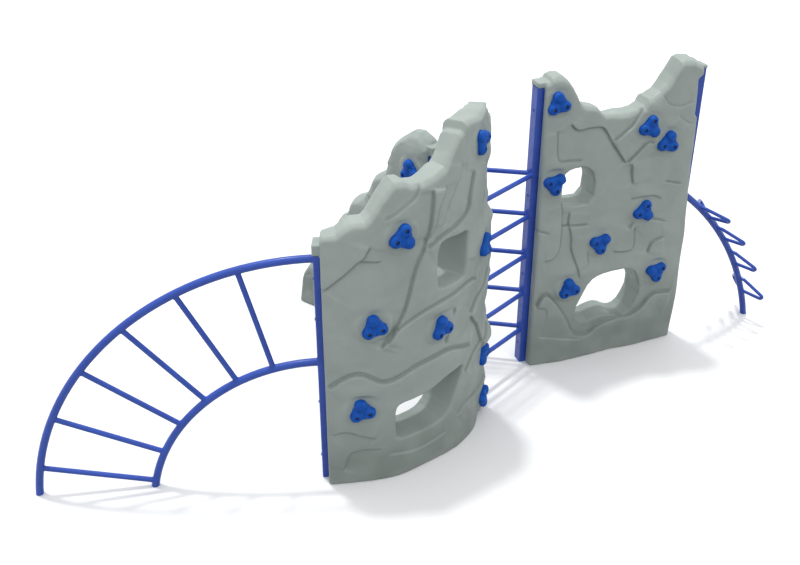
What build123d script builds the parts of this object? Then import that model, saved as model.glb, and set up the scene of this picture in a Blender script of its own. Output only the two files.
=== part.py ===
from build123d import *
from dataclasses import dataclass
from math import asin, cos, degrees, radians, sin, sqrt
import os

# Rock climbing wall: three hollow rock panels round a hub of square posts, with an arch ladder and a loop pole.
# Millimetres, +Z up. The origin is the centre of the right hub post's foot, and +X runs along the straight panel.

# ---- posts and hub
POST = 89.0
POST_WALL = 4.8
POST_CORNER = 8.0
TALL_POST = 2112.0
SHORT_POST = 1584.0
FOOT_PLATE = 8.0
RUNG_CLEAR = 610.0
HUB_SIDE = RUNG_CLEAR + POST
HUB_RADIUS = HUB_SIDE / sqrt(3)
RUNG_PITCH = 305.0
FIRST_RUNG = 277.0
HUB_RUNGS = 5

# ---- pipes
RAIL_OD = 48.3
RAIL_WALL = 3.7
RUNG_OD = 33.4
RUNG_WALL = 3.4
LOOP_ROD = 25.4

# ---- arch ladder
LADDER_HEADING = 167.0
OUTER_RADIUS = 1753.0
RAIL_GAP = 699.0
LADDER_DROP = 204.0
LADDER_OUT = 57.0
LADDER_RUNGS = 6
LADDER_FIRST = 13.3
LADDER_STEP = 12.6

# ---- loop pole
POLE_REACH = 777.0
POLE_RADIUS = 2050.0
POLE_DROP = 456.0
LOOP_HEIGHTS = (980.0, 780.0, 545.0, 285.0)
LOOP_BASE_UP = 72.0
LOOP_BASE_DOWN = 66.0
LOOP_SIDE = 192.0
LOOP_OUT = 66.0
LOOP_FORWARD = 66.0
LOOP_BEND = 30.0

# ---- rock panels
# Crests, windows and handholds are drawn for these lengths and post heights, and stretch with the real ones.
STRAIGHT_DRAWN = 1180.0
CURVED_DRAWN = 1292.0
STEPPED_DRAWN = 1265.0
TALL_DRAWN = 2112.0
SHORT_DRAWN = 1584.0
SKIN = 8.0
STRAIGHT_LENGTH = 1180.0
CURVE_RADIUS = 955.0
CURVE_SWEEP = 77.5
STEPPED_LENGTH = 1265.0
FRONT_DEPTH = 112.0
BACK_DEPTH = 98.0
CREST_DEPTH = 78.0
FOOT_BULGE = 16.0
FACET = 7.0
CREST_RISE = 9.0
CHANNEL_CLEAR = 1.0
BOLT_ROOM = 12.0
CAP_LIP = 4.0
CAP_WALL = 11.0
CAP_REACH = 24.0
CAP_RISE = 28.0
DRAIN_RADIUS = 8.0
WINDOW_ROUND = 24.0

# ---- fasteners
PANEL_BOLT = 5.0
RAIL_BOLT = 6.0
HOLD_BOLT = 5.0
BOLT_SLACK = 0.5
THREAD_SLACK = 0.05
BOLT_HEAD = 9.0
BOLT_HEAD_HEIGHT = 5.0
RAIL_BOLT_HEAD = 10.0
RAIL_BOLT_HEAD_HEIGHT = 7.0
BOLT_GRIP = 20.0
BOLT_SHARES = (0.071, 0.3457, 0.6345, 0.9233)
SHORT_BOLT_SHARES = (0.0947, 0.2715, 0.6566, 0.8491)
LADDER_BOLT_SHARES = (0.0947, 0.3535, 0.726, 0.8965)
INSERT_RADIUS = 9.0
INSERT_LENGTH = 25.0
PLUG_LENGTH = 25.0

# ---- handholds
HOLD_PITCH_RADIUS = 48.0
HOLD_LOBE = 36.0
HOLD_HEIGHT = 46.0
HOLD_BORE = 10.5
HOLD_SEAT = 24.0
HOLD_SADDLE = 10.0
HOLD_ROUND = 12.0
HOLD_TAPER = 8.0
PAD_RADIUS = 98.0
SPOT_RADIUS = 91.0
PAD_DEPTH = 34.0
PAD_PROUD = 2.0

UP = Vector(0, 0, 1)
BIG = 5000.0


def direction(heading):
    """Unit vector on the ground at a heading in degrees."""
    return Vector(cos(radians(heading)), sin(radians(heading)), 0)


def disc(radius, height, plane):
    """Solid cylinder that rises from a plane."""
    return plane * extrude(Circle(radius), height)


def block(x0, x1, y0, y1, z0, z1):
    """Box between two corners."""
    return Pos((x0 + x1) / 2, (y0 + y1) / 2, (z0 + z1) / 2) * Box(x1 - x0, y1 - y0, z1 - z0)


@dataclass
class Post:
    """A square post: its place, the way its panel's line runs out, and the side that its panel is on."""

    name: str
    x: float
    y: float
    heading: float
    height: float
    panel_side: int
    bolt_heights: tuple

    def place(self):
        return Location(Plane(origin=(self.x, self.y, 0), x_dir=direction(self.heading), z_dir=UP))

    def centre(self, z=0.0):
        return Vector(self.x, self.y, z)

    def outer(self, grow=0.0):
        """The filled outside of the post, used to cope the pipes that meet it."""
        side = POST + 2 * grow
        return self.place() * Pos(0, 0, -1) * extrude(
            RectangleRounded(side, side, POST_CORNER + grow), self.height + 1)

    def across(self, z, start):
        """Plane whose normal runs from the exposed face to the panel, at a distance from the centre."""
        axis = Vector(self.panel_side, 0, 0)
        return Plane(origin=(start * self.panel_side, 0, z), x_dir=(0, 1, 0), z_dir=axis)


def on_heading(start, heading, distance):
    """Point at a distance along a heading."""
    end = Vector(start[0], start[1], 0) + direction(heading) * distance
    return end.X, end.Y


class Wall:
    """A rock panel's own coordinates: s along it from its hub post, d out of its front, z up."""

    def __init__(self, start, heading, front_side, length, stretch, rise, radius=None):
        self.start = Vector(start[0], start[1], 0)
        self.heading = heading
        self.front_side = front_side
        self.length = length
        self.stretch = stretch
        self.rise = rise
        self.radius = radius

    def fit(self, points):
        """Drawn (s, z) points, stretched to the panel's real length and height."""
        return [(min(s * self.stretch, self.length), z * self.rise) for s, z in points]

    def turn(self, s):
        """Heading of the panel's line at s."""
        if self.radius is None:
            return self.heading
        return self.heading - degrees(s / self.radius)

    def along(self, s):
        return direction(self.turn(s))

    def normal(self, s):
        return direction(self.turn(s) + 90 * self.front_side)

    def point(self, s, d, z):
        if self.radius is None:
            return self.start + self.along(0) * s + self.normal(0) * d + UP * z
        centre = self.start - self.normal(0) * self.radius
        return centre + self.normal(s) * (self.radius + d) + UP * z

    def window_plane(self, s):
        """Upright plane on the panel's middle, with its x along the panel."""
        return Plane(origin=self.point(s, 0, 0), x_dir=self.along(s), z_dir=self.along(s).cross(UP))

    def face_plane(self, s, d, z, face):
        """Plane that lies on the front (face 1) or back (face -1), seen from outside with +Z upwards."""
        outward = self.normal(s) * face
        return Plane(origin=self.point(s, face * d, z), x_dir=UP.cross(outward), z_dir=outward)


LEVELS = (0.0, 0.13, 0.27, 0.42, 0.57, 0.72, 0.86, 1.0)


def crest_height(crest, s):
    """Height of the crest line at s."""
    for (s0, z0), (s1, z1) in zip(crest, crest[1:]):
        if s0 <= s <= s1:
            return z0 + (z1 - z0) * (s - s0) / (s1 - s0)
    return crest[-1][1]


def rock_depth(base, level):
    """Depth of the rock at a share of its height: thick at the foot, thinner towards the crest."""
    shoulder = max(0.0, level - 0.72) / 0.28
    return base + FOOT_BULGE * (1 - level) ** 2 - (base - CREST_DEPTH) * shoulder ** 2


def facet(row, column, face):
    """The boulder relief: a shift in depth that changes from one facet to the next."""
    return FACET * sin(2.1 * row + 1.3 * column * face + 0.7 * row * column)


def section(wall, s, top, row, inset):
    """Points round the panel's section at s: up the front, over the crest and down the back."""
    bottom = inset
    top = top - inset
    front = []
    back = []
    for column, level in enumerate(LEVELS):
        z = bottom + (top - bottom) * level
        front.append(wall.point(s, rock_depth(FRONT_DEPTH, level) + facet(row, column, 1) - inset, z))
        back.append(wall.point(s, -(rock_depth(BACK_DEPTH, level) + facet(row, column, -1) - inset), z))
    crest = wall.point(s, facet(row, 3, 1), top + CREST_RISE)
    return front + [crest] + back[::-1]


def triangle(a, b, c):
    return Face(Wire.make_polygon([a, b, c], close=True))


def rock_body(wall, crest, inset=0.0):
    """Faceted rock between s = 0 and the panel's length, grown inwards by inset for the hollow."""
    stations = [s for s, _ in crest]
    places = [min(max(s, inset), wall.length - inset) for s in stations]
    rows = []
    for row, (s, place) in enumerate(zip(stations, places)):
        rows.append(section(wall, place, crest_height(crest, s), row, inset))
    faces = [Face(Wire.make_polygon(rows[0], close=True)), Face(Wire.make_polygon(rows[-1], close=True))]
    for low, high in zip(rows, rows[1:]):
        for k in range(len(low) - 1):
            faces.append(triangle(low[k], low[k + 1], high[k + 1]))
            faces.append(triangle(low[k], high[k + 1], high[k]))
        faces.append(Face(Wire.make_polygon([low[0], high[0], high[-1], low[-1]], close=True)))
    body = Solid(Shell(faces))
    return body if body.volume > 0 else Solid(Shell([-face for face in faces]))


def window(wall, outline, grow=0.0):
    """Prism through the panel with a rounded outline given as (s, z) points."""
    middle = sum(s for s, _ in outline) / len(outline)
    sketch = make_face(Polyline([(s - middle, z) for s, z in outline], close=True))
    sketch = fillet(sketch.vertices(), WINDOW_ROUND)
    if grow:
        sketch = offset(sketch, grow)
    return wall.window_plane(middle) * extrude(sketch, 260, both=True)


def channel(post, grow=0.0):
    """The slot in a panel's end that takes its post, open to the post's exposed side."""
    half = POST / 2 + CHANNEL_CLEAR + grow
    reach = POST / 2 + BOLT_ROOM + grow
    top = post.height + CHANNEL_CLEAR + grow
    if post.panel_side > 0:
        return post.place() * block(-2 * POST, reach, -half, half, -1, top)
    return post.place() * block(-reach, 2 * POST, -half, half, -1, top)


def cap(post, crest):
    """The rock's cap over a post, with a lip down the post's sides."""
    half = POST / 2 + CAP_WALL
    outer = POST / 2 + CHANNEL_CLEAR
    inner = CAP_REACH
    low = post.height - CAP_LIP
    if post.panel_side > 0:
        return post.place() * block(-outer, inner, -half, half, low, crest)
    return post.place() * block(-inner, outer, -half, half, low, crest)


@dataclass
class Hold:
    """A handhold: its place on a panel, the face that it is on (1 front, -1 back) and its turn in degrees."""

    s: float
    z: float
    turn: float
    face: int = 1

    def depth(self, crest):
        """Depth of the flat pad that the handhold sits on."""
        level = self.z / crest_height(crest, self.s)
        return rock_depth(FRONT_DEPTH if self.face > 0 else BACK_DEPTH, level) + PAD_PROUD

    def plane(self, wall, crest):
        base = wall.face_plane(self.s, self.depth(crest), self.z, self.face)
        return Plane(base.location * Rot(0, 0, self.turn))


def lobe_centre(angle):
    return HOLD_PITCH_RADIUS * cos(radians(angle)), HOLD_PITCH_RADIUS * sin(radians(angle))


HOLD_LOBES = (90.0, 210.0, 330.0)
HOLD_BOLTS = (210.0, 330.0)


def handhold():
    """Three-lobed moulded hold with two counterbored bolt holes, its back on the XY plane."""
    on_back = (Align.CENTER, Align.CENTER, Align.MIN)
    body = Cone(HOLD_LOBE + HOLD_SADDLE, HOLD_LOBE, HOLD_HEIGHT - HOLD_TAPER, align=on_back)
    for angle in HOLD_LOBES:
        x, y = lobe_centre(angle)
        lobe = Cone(HOLD_LOBE + PAD_PROUD, HOLD_LOBE - HOLD_TAPER, HOLD_HEIGHT, align=on_back)
        lobe = fillet(lobe.edges().sort_by(Axis.Z)[-1], HOLD_ROUND)
        body += Pos(x, y, 0) * lobe
    for angle in HOLD_BOLTS:
        x, y = lobe_centre(angle)
        body -= Pos(x, y, -1) * extrude(Circle(HOLD_BOLT + BOLT_SLACK), HOLD_HEIGHT)
        body -= Pos(x, y, HOLD_SEAT) * extrude(Circle(HOLD_BORE), HOLD_HEIGHT)
    return body


def button_bolt(radius, head_radius, head, shank):
    """Bolt whose head sits on the XY plane from above and whose shank goes down."""
    shape = extrude(Circle(radius), -shank) + extrude(Circle(head_radius), head)
    shape = fillet(shape.edges().group_by(Axis.Z)[-1], 0.5 * head)
    return shape - Pos(0, 0, head) * extrude(RegularPolygon(0.55 * radius, 6), -0.6 * head)


def insert(bore):
    """Flanged threaded insert, its mouth on the XY plane and its body below."""
    return extrude(Circle(INSERT_RADIUS), -INSERT_LENGTH) - extrude(Circle(bore + THREAD_SLACK), -INSERT_LENGTH)


def pipe_arc(radius, start, end, tube_radius, plane):
    """Solid round bar bent about the plane's normal, between two angles from the plane's x."""
    ring = Plane(origin=(radius, 0, 0), x_dir=(1, 0, 0), z_dir=(0, -1, 0)) * Circle(tube_radius)
    bar = revolve(ring, axis=Axis.Z, revolution_arc=end - start)
    return plane * Rot(0, 0, start) * bar


def pipe(start, end, tube_radius):
    """Solid round bar between two points."""
    return disc(tube_radius, (end - start).length, Plane(origin=start, z_dir=end - start))


# ---- places
hub = Vector(-HUB_RADIUS, 0, 0)
front_start = on_heading((hub.X, hub.Y), -120, HUB_RADIUS)
back_start = on_heading((hub.X, hub.Y), 120, HUB_RADIUS)
tall_rise = TALL_POST / TALL_DRAWN
short_rise = SHORT_POST / SHORT_DRAWN
curve_length = CURVE_RADIUS * radians(CURVE_SWEEP)
straight = Wall((0, 0), 0, -1, STRAIGHT_LENGTH, STRAIGHT_LENGTH / STRAIGHT_DRAWN, tall_rise)
curved = Wall(front_start, 240, 1, curve_length, curve_length / CURVED_DRAWN, tall_rise, CURVE_RADIUS)
stepped = Wall(back_start, 120, 1, STEPPED_LENGTH, STEPPED_LENGTH / STEPPED_DRAWN, short_rise)
curve_end = curved.point(curved.length, 0, 0)

TALL_BOLTS = tuple(TALL_POST * share for share in BOLT_SHARES)
SHORT_BOLTS = tuple(SHORT_POST * share for share in SHORT_BOLT_SHARES)
LADDER_POST_BOLTS = tuple(SHORT_POST * share for share in LADDER_BOLT_SHARES)

right_hub = Post("right_hub_post", 0, 0, 0, TALL_POST, 1, TALL_BOLTS)
right_end = Post("right_end_post", STRAIGHT_LENGTH, 0, 0, TALL_POST, -1, TALL_BOLTS)
front_hub = Post("front_hub_post", front_start[0], front_start[1], 240, TALL_POST, 1, TALL_BOLTS)
front_end = Post("front_end_post", curve_end.X, curve_end.Y, LADDER_HEADING, SHORT_POST, -1, LADDER_POST_BOLTS)
back_hub = Post("back_hub_post", back_start[0], back_start[1], 120, SHORT_POST, 1, SHORT_BOLTS)
posts = [right_hub, right_end, front_hub, front_end, back_hub]

# ---- rock outlines: crest points and windows as (s, z)
STRAIGHT_CREST = [(0, 2130), (40, 2166), (115, 2170), (160, 2135), (215, 2064), (270, 1960), (385, 1922),
                  (455, 1858), (640, 1855), (770, 1898), (850, 1962), (945, 2075), (1005, 2176), (1100, 2178),
                  (STRAIGHT_DRAWN, 2142)]
STRAIGHT_WINDOWS = [
    [(160, 1290), (164, 1500), (215, 1540), (325, 1542), (408, 1470), (400, 1262), (235, 1262)],
    [(348, 425), (385, 520), (440, 630), (525, 672), (740, 685), (822, 645), (880, 480), (795, 325), (650, 285),
     (480, 300)],
]
CURVED_CREST = [(0, 2176), (60, 2192), (170, 2196), (320, 2204), (365, 2166), (430, 2150), (500, 2060),
                (575, 1990), (700, 1948), (840, 1975), (900, 1972), (975, 1862), (1045, 1772), (1170, 1740),
                (CURVED_DRAWN, 1692)]
CURVED_WINDOWS = [
    [(398, 1230), (392, 1500), (440, 1560), (600, 1565), (640, 1500), (636, 1262)],
    [(905, 335), (905, 500), (860, 545), (670, 550), (555, 598), (440, 588), (415, 540), (485, 420), (530, 335),
     (600, 282), (770, 280)],
]
STEPPED_CREST = [(0, 1668), (60, 1715), (170, 1722), (290, 1645), (370, 1590), (412, 1400), (500, 1332),
                 (560, 1290), (640, 1130), (760, 1045), (800, 920), (900, 880), (925, 700), (1060, 610),
                 (1110, 400), (1215, 350), (STEPPED_DRAWN, 205)]

# ---- handholds
STRAIGHT_HOLDS = [Hold(84, 2010, 10), Hold(90, 1455, -50), Hold(795, 1765, 225), Hold(945, 1640, -10),
                  Hold(815, 1140, 225), Hold(487, 940, -50), Hold(272, 612, 10), Hold(984, 626, 70),
                  Hold(150, 1120, 30, -1), Hold(330, 1700, 200, -1), Hold(560, 1180, 95, -1),
                  Hold(700, 1560, 0, -1), Hold(960, 900, 140, -1), Hold(1040, 1930, 250, -1)]
CURVED_HOLDS = [Hold(863, 1673, 225), Hold(1024, 1131, 10), Hold(609, 985, 10), Hold(1100, 555, 10),
                Hold(235, 2050, 40), Hold(170, 1330, 100), Hold(115, 495, 10), Hold(96, 125, 70),
                Hold(200, 1745, 60, -1), Hold(330, 820, 180, -1), Hold(700, 1230, 300, -1),
                Hold(880, 800, 20, -1), Hold(1060, 1400, 110, -1)]
STEPPED_HOLDS = [Hold(112, 1462, 10), Hold(330, 900, 200), Hold(700, 560, 60),
                 Hold(250, 1240, 120, -1), Hold(520, 760, 0, -1), Hold(820, 350, 240, -1)]

parts = {}

# ---- posts, their foot plates and the bolts that hold the panels
foot_plates = []
panel_bolts = []
panel_inserts = []
BOLT_SHANK = POST + BOLT_ROOM + BOLT_GRIP
rail_heights = {"front_end_post": [OUTER_RADIUS - LADDER_DROP, OUTER_RADIUS - RAIL_GAP - LADDER_DROP]}
pole_foot_x = STRAIGHT_LENGTH + POLE_REACH
pole_centre_x = pole_foot_x - sqrt(POLE_RADIUS ** 2 - POLE_DROP ** 2)
pole_face_x = STRAIGHT_LENGTH + POST / 2
rail_heights["right_end_post"] = [sqrt(POLE_RADIUS ** 2 - (pole_face_x - pole_centre_x) ** 2) - POLE_DROP]

for post in posts:
    hollow = POST - 2 * POST_WALL
    tube = extrude(RectangleRounded(POST, POST, POST_CORNER), post.height)
    tube -= Pos(0, 0, -1) * extrude(RectangleRounded(hollow, hollow, POST_CORNER - POST_WALL), post.height + 2)
    bores = [disc(PANEL_BOLT + BOLT_SLACK, POST + 2, post.across(z, -POST / 2 - 1)) for z in post.bolt_heights]
    bores += [disc(RAIL_BOLT + BOLT_SLACK, POST + 2, post.across(z, -POST / 2 - 1))
              for z in rail_heights.get(post.name, [])]
    parts[post.name] = post.place() * (tube - bores)
    plate = extrude(RectangleRounded(hollow, hollow, POST_CORNER - POST_WALL), FOOT_PLATE)
    foot_plates.append(post.place() * plate)
    for z in post.bolt_heights:
        seat = post.across(z, -POST / 2)
        flipped = Plane(origin=seat.origin, x_dir=seat.x_dir, z_dir=-seat.z_dir)
        bolt = button_bolt(PANEL_BOLT, BOLT_HEAD, BOLT_HEAD_HEIGHT, BOLT_SHANK)
        panel_bolts.append(post.place() * (flipped * bolt))
        mouth = post.across(z, POST / 2 + BOLT_ROOM)
        flipped = Plane(origin=mouth.origin, x_dir=mouth.x_dir, z_dir=-mouth.z_dir)
        panel_inserts.append(post.place() * (flipped * insert(PANEL_BOLT)))
parts["post_foot_plates"] = foot_plates
parts["panel_bolts"] = panel_bolts
parts["panel_inserts"] = panel_inserts


def insert_sockets(post):
    """Holes in a channel's floor for its panel's threaded inserts."""
    return [post.place() * disc(INSERT_RADIUS + THREAD_SLACK, INSERT_LENGTH, post.across(z, POST / 2 + BOLT_ROOM))
            for z in post.bolt_heights]


# ---- rock panels with their handholds
def build_panel(name, wall, crest, windows, ends, caps, holds, drain_s):
    """Make a hollow panel and the handholds, bolts and inserts on it."""
    crest = wall.fit(crest)
    windows = [wall.fit(outline) for outline in windows]
    holds = [Hold(hold.s * wall.stretch, hold.z * wall.rise, hold.turn, hold.face) for hold in holds]
    outer = rock_body(wall, crest)
    for post, height in caps:
        outer += cap(post, height)
    outer -= [channel(post) for post in ends] + [window(wall, outline) for outline in windows]
    hollow = rock_body(wall, crest, SKIN)
    hollow -= [channel(post, SKIN) for post in ends] + [window(wall, outline, SKIN) for outline in windows]
    panel = outer - hollow
    pads = []
    spot_faces = []
    sockets = []
    hold_list = []
    bolts = []
    inserts = []
    pattern = handhold()
    for hold in holds:
        seat = hold.plane(wall, crest)
        pads.append(disc(PAD_RADIUS, -PAD_DEPTH, seat))
        spot_faces.append(disc(SPOT_RADIUS, PAD_DEPTH, seat))
        hold_list.append(seat * pattern)
        for angle in HOLD_BOLTS:
            x, y = lobe_centre(angle)
            sockets.append(seat * Pos(x, y, 0) * extrude(Circle(INSERT_RADIUS + THREAD_SLACK), -INSERT_LENGTH))
            inserts.append(seat * Pos(x, y, 0) * insert(HOLD_BOLT))
            bolt = button_bolt(HOLD_BOLT, BOLT_HEAD, BOLT_HEAD_HEIGHT, HOLD_SEAT + BOLT_GRIP)
            bolts.append(seat * Pos(x, y, HOLD_SEAT) * bolt)
    panel += pads
    panel -= [channel(post) for post in ends] + spot_faces + sockets
    for post in ends:
        panel -= insert_sockets(post)
    panel -= disc(DRAIN_RADIUS, 3 * SKIN, Plane(origin=wall.point(drain_s, 0, -SKIN)))
    parts[name + "_panel"] = panel
    for face, side in ((1, "front"), (-1, "back")):
        chosen = [shape for hold, shape in zip(holds, hold_list) if hold.face == face]
        parts[name + "_" + side + "_holds"] = chosen
    parts[name + "_hold_bolts"] = bolts
    parts[name + "_hold_inserts"] = inserts


build_panel("straight_wall", straight, STRAIGHT_CREST, STRAIGHT_WINDOWS, [right_hub, right_end],
            [(right_hub, TALL_POST + CAP_RISE), (right_end, TALL_POST + CAP_RISE)], STRAIGHT_HOLDS,
            STRAIGHT_LENGTH / 2)
build_panel("curved_wall", curved, CURVED_CREST, CURVED_WINDOWS, [front_hub, front_end],
            [(front_hub, TALL_POST + 2 * CAP_RISE), (front_end, SHORT_POST + 2.5 * CAP_RISE)], CURVED_HOLDS,
            curve_length / 5)
build_panel("stepped_wall", stepped, STEPPED_CREST, [], [back_hub],
            [(back_hub, SHORT_POST + 2.5 * CAP_RISE)], STEPPED_HOLDS, STEPPED_LENGTH / 2)

# ---- hub rungs
for side, post in (("front", front_hub), ("back", back_hub)):
    for k in range(HUB_RUNGS):
        z = FIRST_RUNG + k * RUNG_PITCH
        start = right_hub.centre(z)
        end = post.centre(z)
        rung = pipe(start, end, RUNG_OD / 2) - pipe(start, end, RUNG_OD / 2 - RUNG_WALL)
        parts[f"{side}_hub_rung_{k + 1}"] = rung - right_hub.outer() - post.outer()

# ---- arch ladder: two concentric rails in an upright plane through the curved panel's end post
ladder_plane = Plane(origin=front_end.centre(-LADDER_DROP) + direction(LADDER_HEADING) * LADDER_OUT,
                     x_dir=direction(LADDER_HEADING),
                     z_dir=direction(LADDER_HEADING).cross(UP))
below_grade = block(-BIG, BIG, -BIG, BIG, -BIG, 0)
foot_slab = block(-BIG, BIG, -BIG, BIG, 0, FOOT_PLATE)
post_inside = block(-BIG, POST / 2, -BIG, BIG, -BIG, BIG)
rail_plugs = []
rail_bolts = []
foot_plugs = []


def end_plug(bar, post, z):
    """Threaded plug inside a pipe's end at a post's face, and the bolt that holds it."""
    near = POST / 2
    reach = block(near, near + PLUG_LENGTH, -POST, POST, z - 2 * RAIL_OD, z + 2 * RAIL_OD)
    bore = disc(RAIL_BOLT + THREAD_SLACK, 2 * POST, post.across(z, -2 * POST))
    rail_plugs.append((bar & (post.place() * reach)) - post.place() * bore)
    head = Plane(origin=(-near, 0, z), x_dir=(0, 1, 0), z_dir=(-1, 0, 0))
    shank = POST + PLUG_LENGTH - BOLT_SLACK
    bolt = button_bolt(RAIL_BOLT, RAIL_BOLT_HEAD, RAIL_BOLT_HEAD_HEIGHT, shank)
    rail_bolts.append(post.place() * (head * bolt))


bars = {}
for name, radius, z in (("outer", OUTER_RADIUS, rail_heights["front_end_post"][0]),
                        ("inner", OUTER_RADIUS - RAIL_GAP, rail_heights["front_end_post"][1])):
    foot_angle = degrees(asin(LADDER_DROP / radius))
    bar = pipe_arc(radius, foot_angle - 3, 96, RAIL_OD / 2, ladder_plane)
    core = pipe_arc(radius, foot_angle - 3, 96, RAIL_OD / 2 - RAIL_WALL, ladder_plane)
    bars[name] = bar
    parts[name + "_rail"] = bar - core - front_end.place() * post_inside - below_grade
    end_plug(core, front_end, z)
    foot_plugs.append(core & foot_slab)

for k in range(LADDER_RUNGS):
    angle = LADDER_FIRST + k * LADDER_STEP
    ray = ladder_plane.x_dir * cos(radians(angle)) + UP * sin(radians(angle))
    start = ladder_plane.origin + ray * (OUTER_RADIUS - RAIL_GAP)
    end = ladder_plane.origin + ray * OUTER_RADIUS
    rung = pipe(start, end, RUNG_OD / 2) - pipe(start, end, RUNG_OD / 2 - RUNG_WALL)
    parts[f"ladder_rung_{k + 1}"] = rung - bars["outer"] - bars["inner"]

# ---- loop pole: one bent pipe in the straight panel's plane, with pairs of looped steps
pole_plane = Plane(origin=(pole_centre_x, 0, -POLE_DROP), x_dir=(1, 0, 0), z_dir=(0, -1, 0))
pole_low = degrees(asin(POLE_DROP / POLE_RADIUS))
pole_high = degrees(asin((POLE_DROP + rail_heights["right_end_post"][0]) / POLE_RADIUS))
pole_bar = pipe_arc(POLE_RADIUS, pole_low - 2, pole_high + 2, RAIL_OD / 2, pole_plane)
pole_core = pipe_arc(POLE_RADIUS, pole_low - 2, pole_high + 2, RAIL_OD / 2 - RAIL_WALL, pole_plane)
post_side = block(-BIG, pole_face_x, -BIG, BIG, -BIG, BIG)
parts["loop_pole"] = pole_bar - pole_core - post_side - below_grade
end_plug(pole_core, right_end, rail_heights["right_end_post"][0])
foot_plugs.append(pole_core & foot_slab)
parts["rail_end_plugs"] = rail_plugs
parts["rail_bolts"] = rail_bolts
parts["pipe_foot_plugs"] = foot_plugs


def loop_step(height, side):
    """One looped step: a bent rod from the pole, out to a rounded tip and back."""
    angle = asin((POLE_DROP + height) / POLE_RADIUS)
    outward = Vector(cos(angle), 0, sin(angle))
    forward = Vector(sin(angle), 0, -cos(angle))
    middle = Vector(pole_centre_x, 0, -POLE_DROP) + outward * POLE_RADIUS
    upper = middle - forward * LOOP_BASE_UP
    lower = middle + forward * LOOP_BASE_DOWN
    tip = middle + Vector(0, side * LOOP_SIDE, 0) + outward * LOOP_OUT + forward * LOOP_FORWARD
    across = (tip - middle).normalized()
    shoulder = upper + across * (0.30 * LOOP_SIDE) - forward * 4
    heel = tip + forward * 36 - across * 34
    points = [upper, shoulder, tip, heel, lower]
    path = FilletPolyline(*points, radius=[LOOP_BEND, 0.6 * LOOP_BEND, 0.6 * LOOP_BEND])
    rod = sweep(Plane(origin=path @ 0, z_dir=path % 0) * Circle(LOOP_ROD / 2), path=path)
    return rod - pole_bar


for k, height in enumerate(LOOP_HEIGHTS):
    for side, word in ((-1, "front"), (1, "back")):
        parts[f"loop_{k + 1}_{word}"] = loop_step(height, side)


def as_shape(shape):
    """One exportable shape from a shape or a list of separate solids."""
    if isinstance(shape, (list, tuple)):
        return Compound(children=[solid for item in shape for solid in item.solids()])
    return shape


os.makedirs("parts", exist_ok=True)
for name, shape in parts.items():
    export_step(as_shape(shape), f"parts/{name}.step")
print(len(parts), "nodes")
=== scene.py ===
"""Climbing wall: moulded rock panels, handholds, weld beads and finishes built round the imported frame.

Metres, +Z up. The origin is the centre of the right hub post's foot, and +X runs along the straight panel.
"""

import logging
import math
from dataclasses import dataclass, field
from enum import Enum
from typing import Callable, Sequence

import bpy
import numpy as np
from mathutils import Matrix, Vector


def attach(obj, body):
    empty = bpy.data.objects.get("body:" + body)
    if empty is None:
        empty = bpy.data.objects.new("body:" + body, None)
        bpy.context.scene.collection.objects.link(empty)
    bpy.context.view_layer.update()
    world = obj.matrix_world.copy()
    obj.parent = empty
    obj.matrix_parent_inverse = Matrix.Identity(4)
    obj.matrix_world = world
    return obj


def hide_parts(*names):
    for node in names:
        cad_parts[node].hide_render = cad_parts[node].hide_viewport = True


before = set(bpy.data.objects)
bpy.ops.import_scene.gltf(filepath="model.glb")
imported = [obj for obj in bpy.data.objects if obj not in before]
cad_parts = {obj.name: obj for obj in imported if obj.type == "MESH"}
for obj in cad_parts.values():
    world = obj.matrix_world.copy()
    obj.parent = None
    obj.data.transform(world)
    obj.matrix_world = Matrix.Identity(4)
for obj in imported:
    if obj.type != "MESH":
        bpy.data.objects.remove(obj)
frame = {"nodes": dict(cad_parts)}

LOG = logging.getLogger("climbing_wall")
MM = 0.001
Pairs = tuple[tuple[float, float], ...]
Points = np.ndarray

LATTICE = 256
FAR = 1e9
TINY = 1e-9
DIAGONAL = 0.7071
UP = np.array((0.0, 0.0, 1.0))
QUARTER = 90.0

# Sizes that the rock and the steelwork share, in millimetres.
POST = 89.0
POST_CORNER = 8.0
TALL_POST = 2112.0
SHORT_POST = 1584.0
BOLT_ROOM = 12.0
RAIL_RADIUS = 24.15
RUNG_RADIUS = 16.7
ROD_RADIUS = 12.7
CURVE_RADIUS = 955.0
HUB_SIDE = 699.0

# How far along a bar its weld is looked for, in millimetres.
RAIL_SEARCH = 60.0
POST_SEARCH = 120.0


class Side(Enum):
    """A panel's faces: which way its depth runs."""

    FRONT = 1
    BACK = -1


class Slot(Enum):
    """The record's material slots."""

    ROCK = "rock"
    FRAME = "frame"
    HOLD = "hold"
    BOLT = "bolt"
    INSERT = "insert"
    PLUG = "plug"


# ---- small tools


def heading_vector(degrees: float) -> Points:
    """Unit vector on the ground at a heading in degrees."""
    angle = math.radians(degrees)
    return np.array([math.cos(angle), math.sin(angle), 0.0])


def smooth_step(low: float, high: float, value: Points) -> Points:
    """Ramp that eases from 0 at low to 1 at high.

    Args:
        low: where the ramp starts.
        high: where it ends.
        value: the values to grade.

    Returns:
        The ramp at each value.
    """
    t = np.clip((value - low) / (high - low), 0.0, 1.0)
    return t * t * (3.0 - 2.0 * t)


def soft_max(a: Points, b: Points, blend: float) -> Points:
    """Larger of two fields, with their crease rounded over a distance.

    Args:
        a: first field.
        b: second field.
        blend: width of the rounding.

    Returns:
        The joined field.
    """
    h = np.maximum(blend - np.abs(a - b), 0.0) / blend
    return np.maximum(a, b) + h * h * blend * 0.25


def soft_min(a: Points, b: Points, blend: float) -> Points:
    """Smaller of two fields, rounded as soft_max rounds the larger."""
    return -soft_max(-a, -b, blend)


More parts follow.
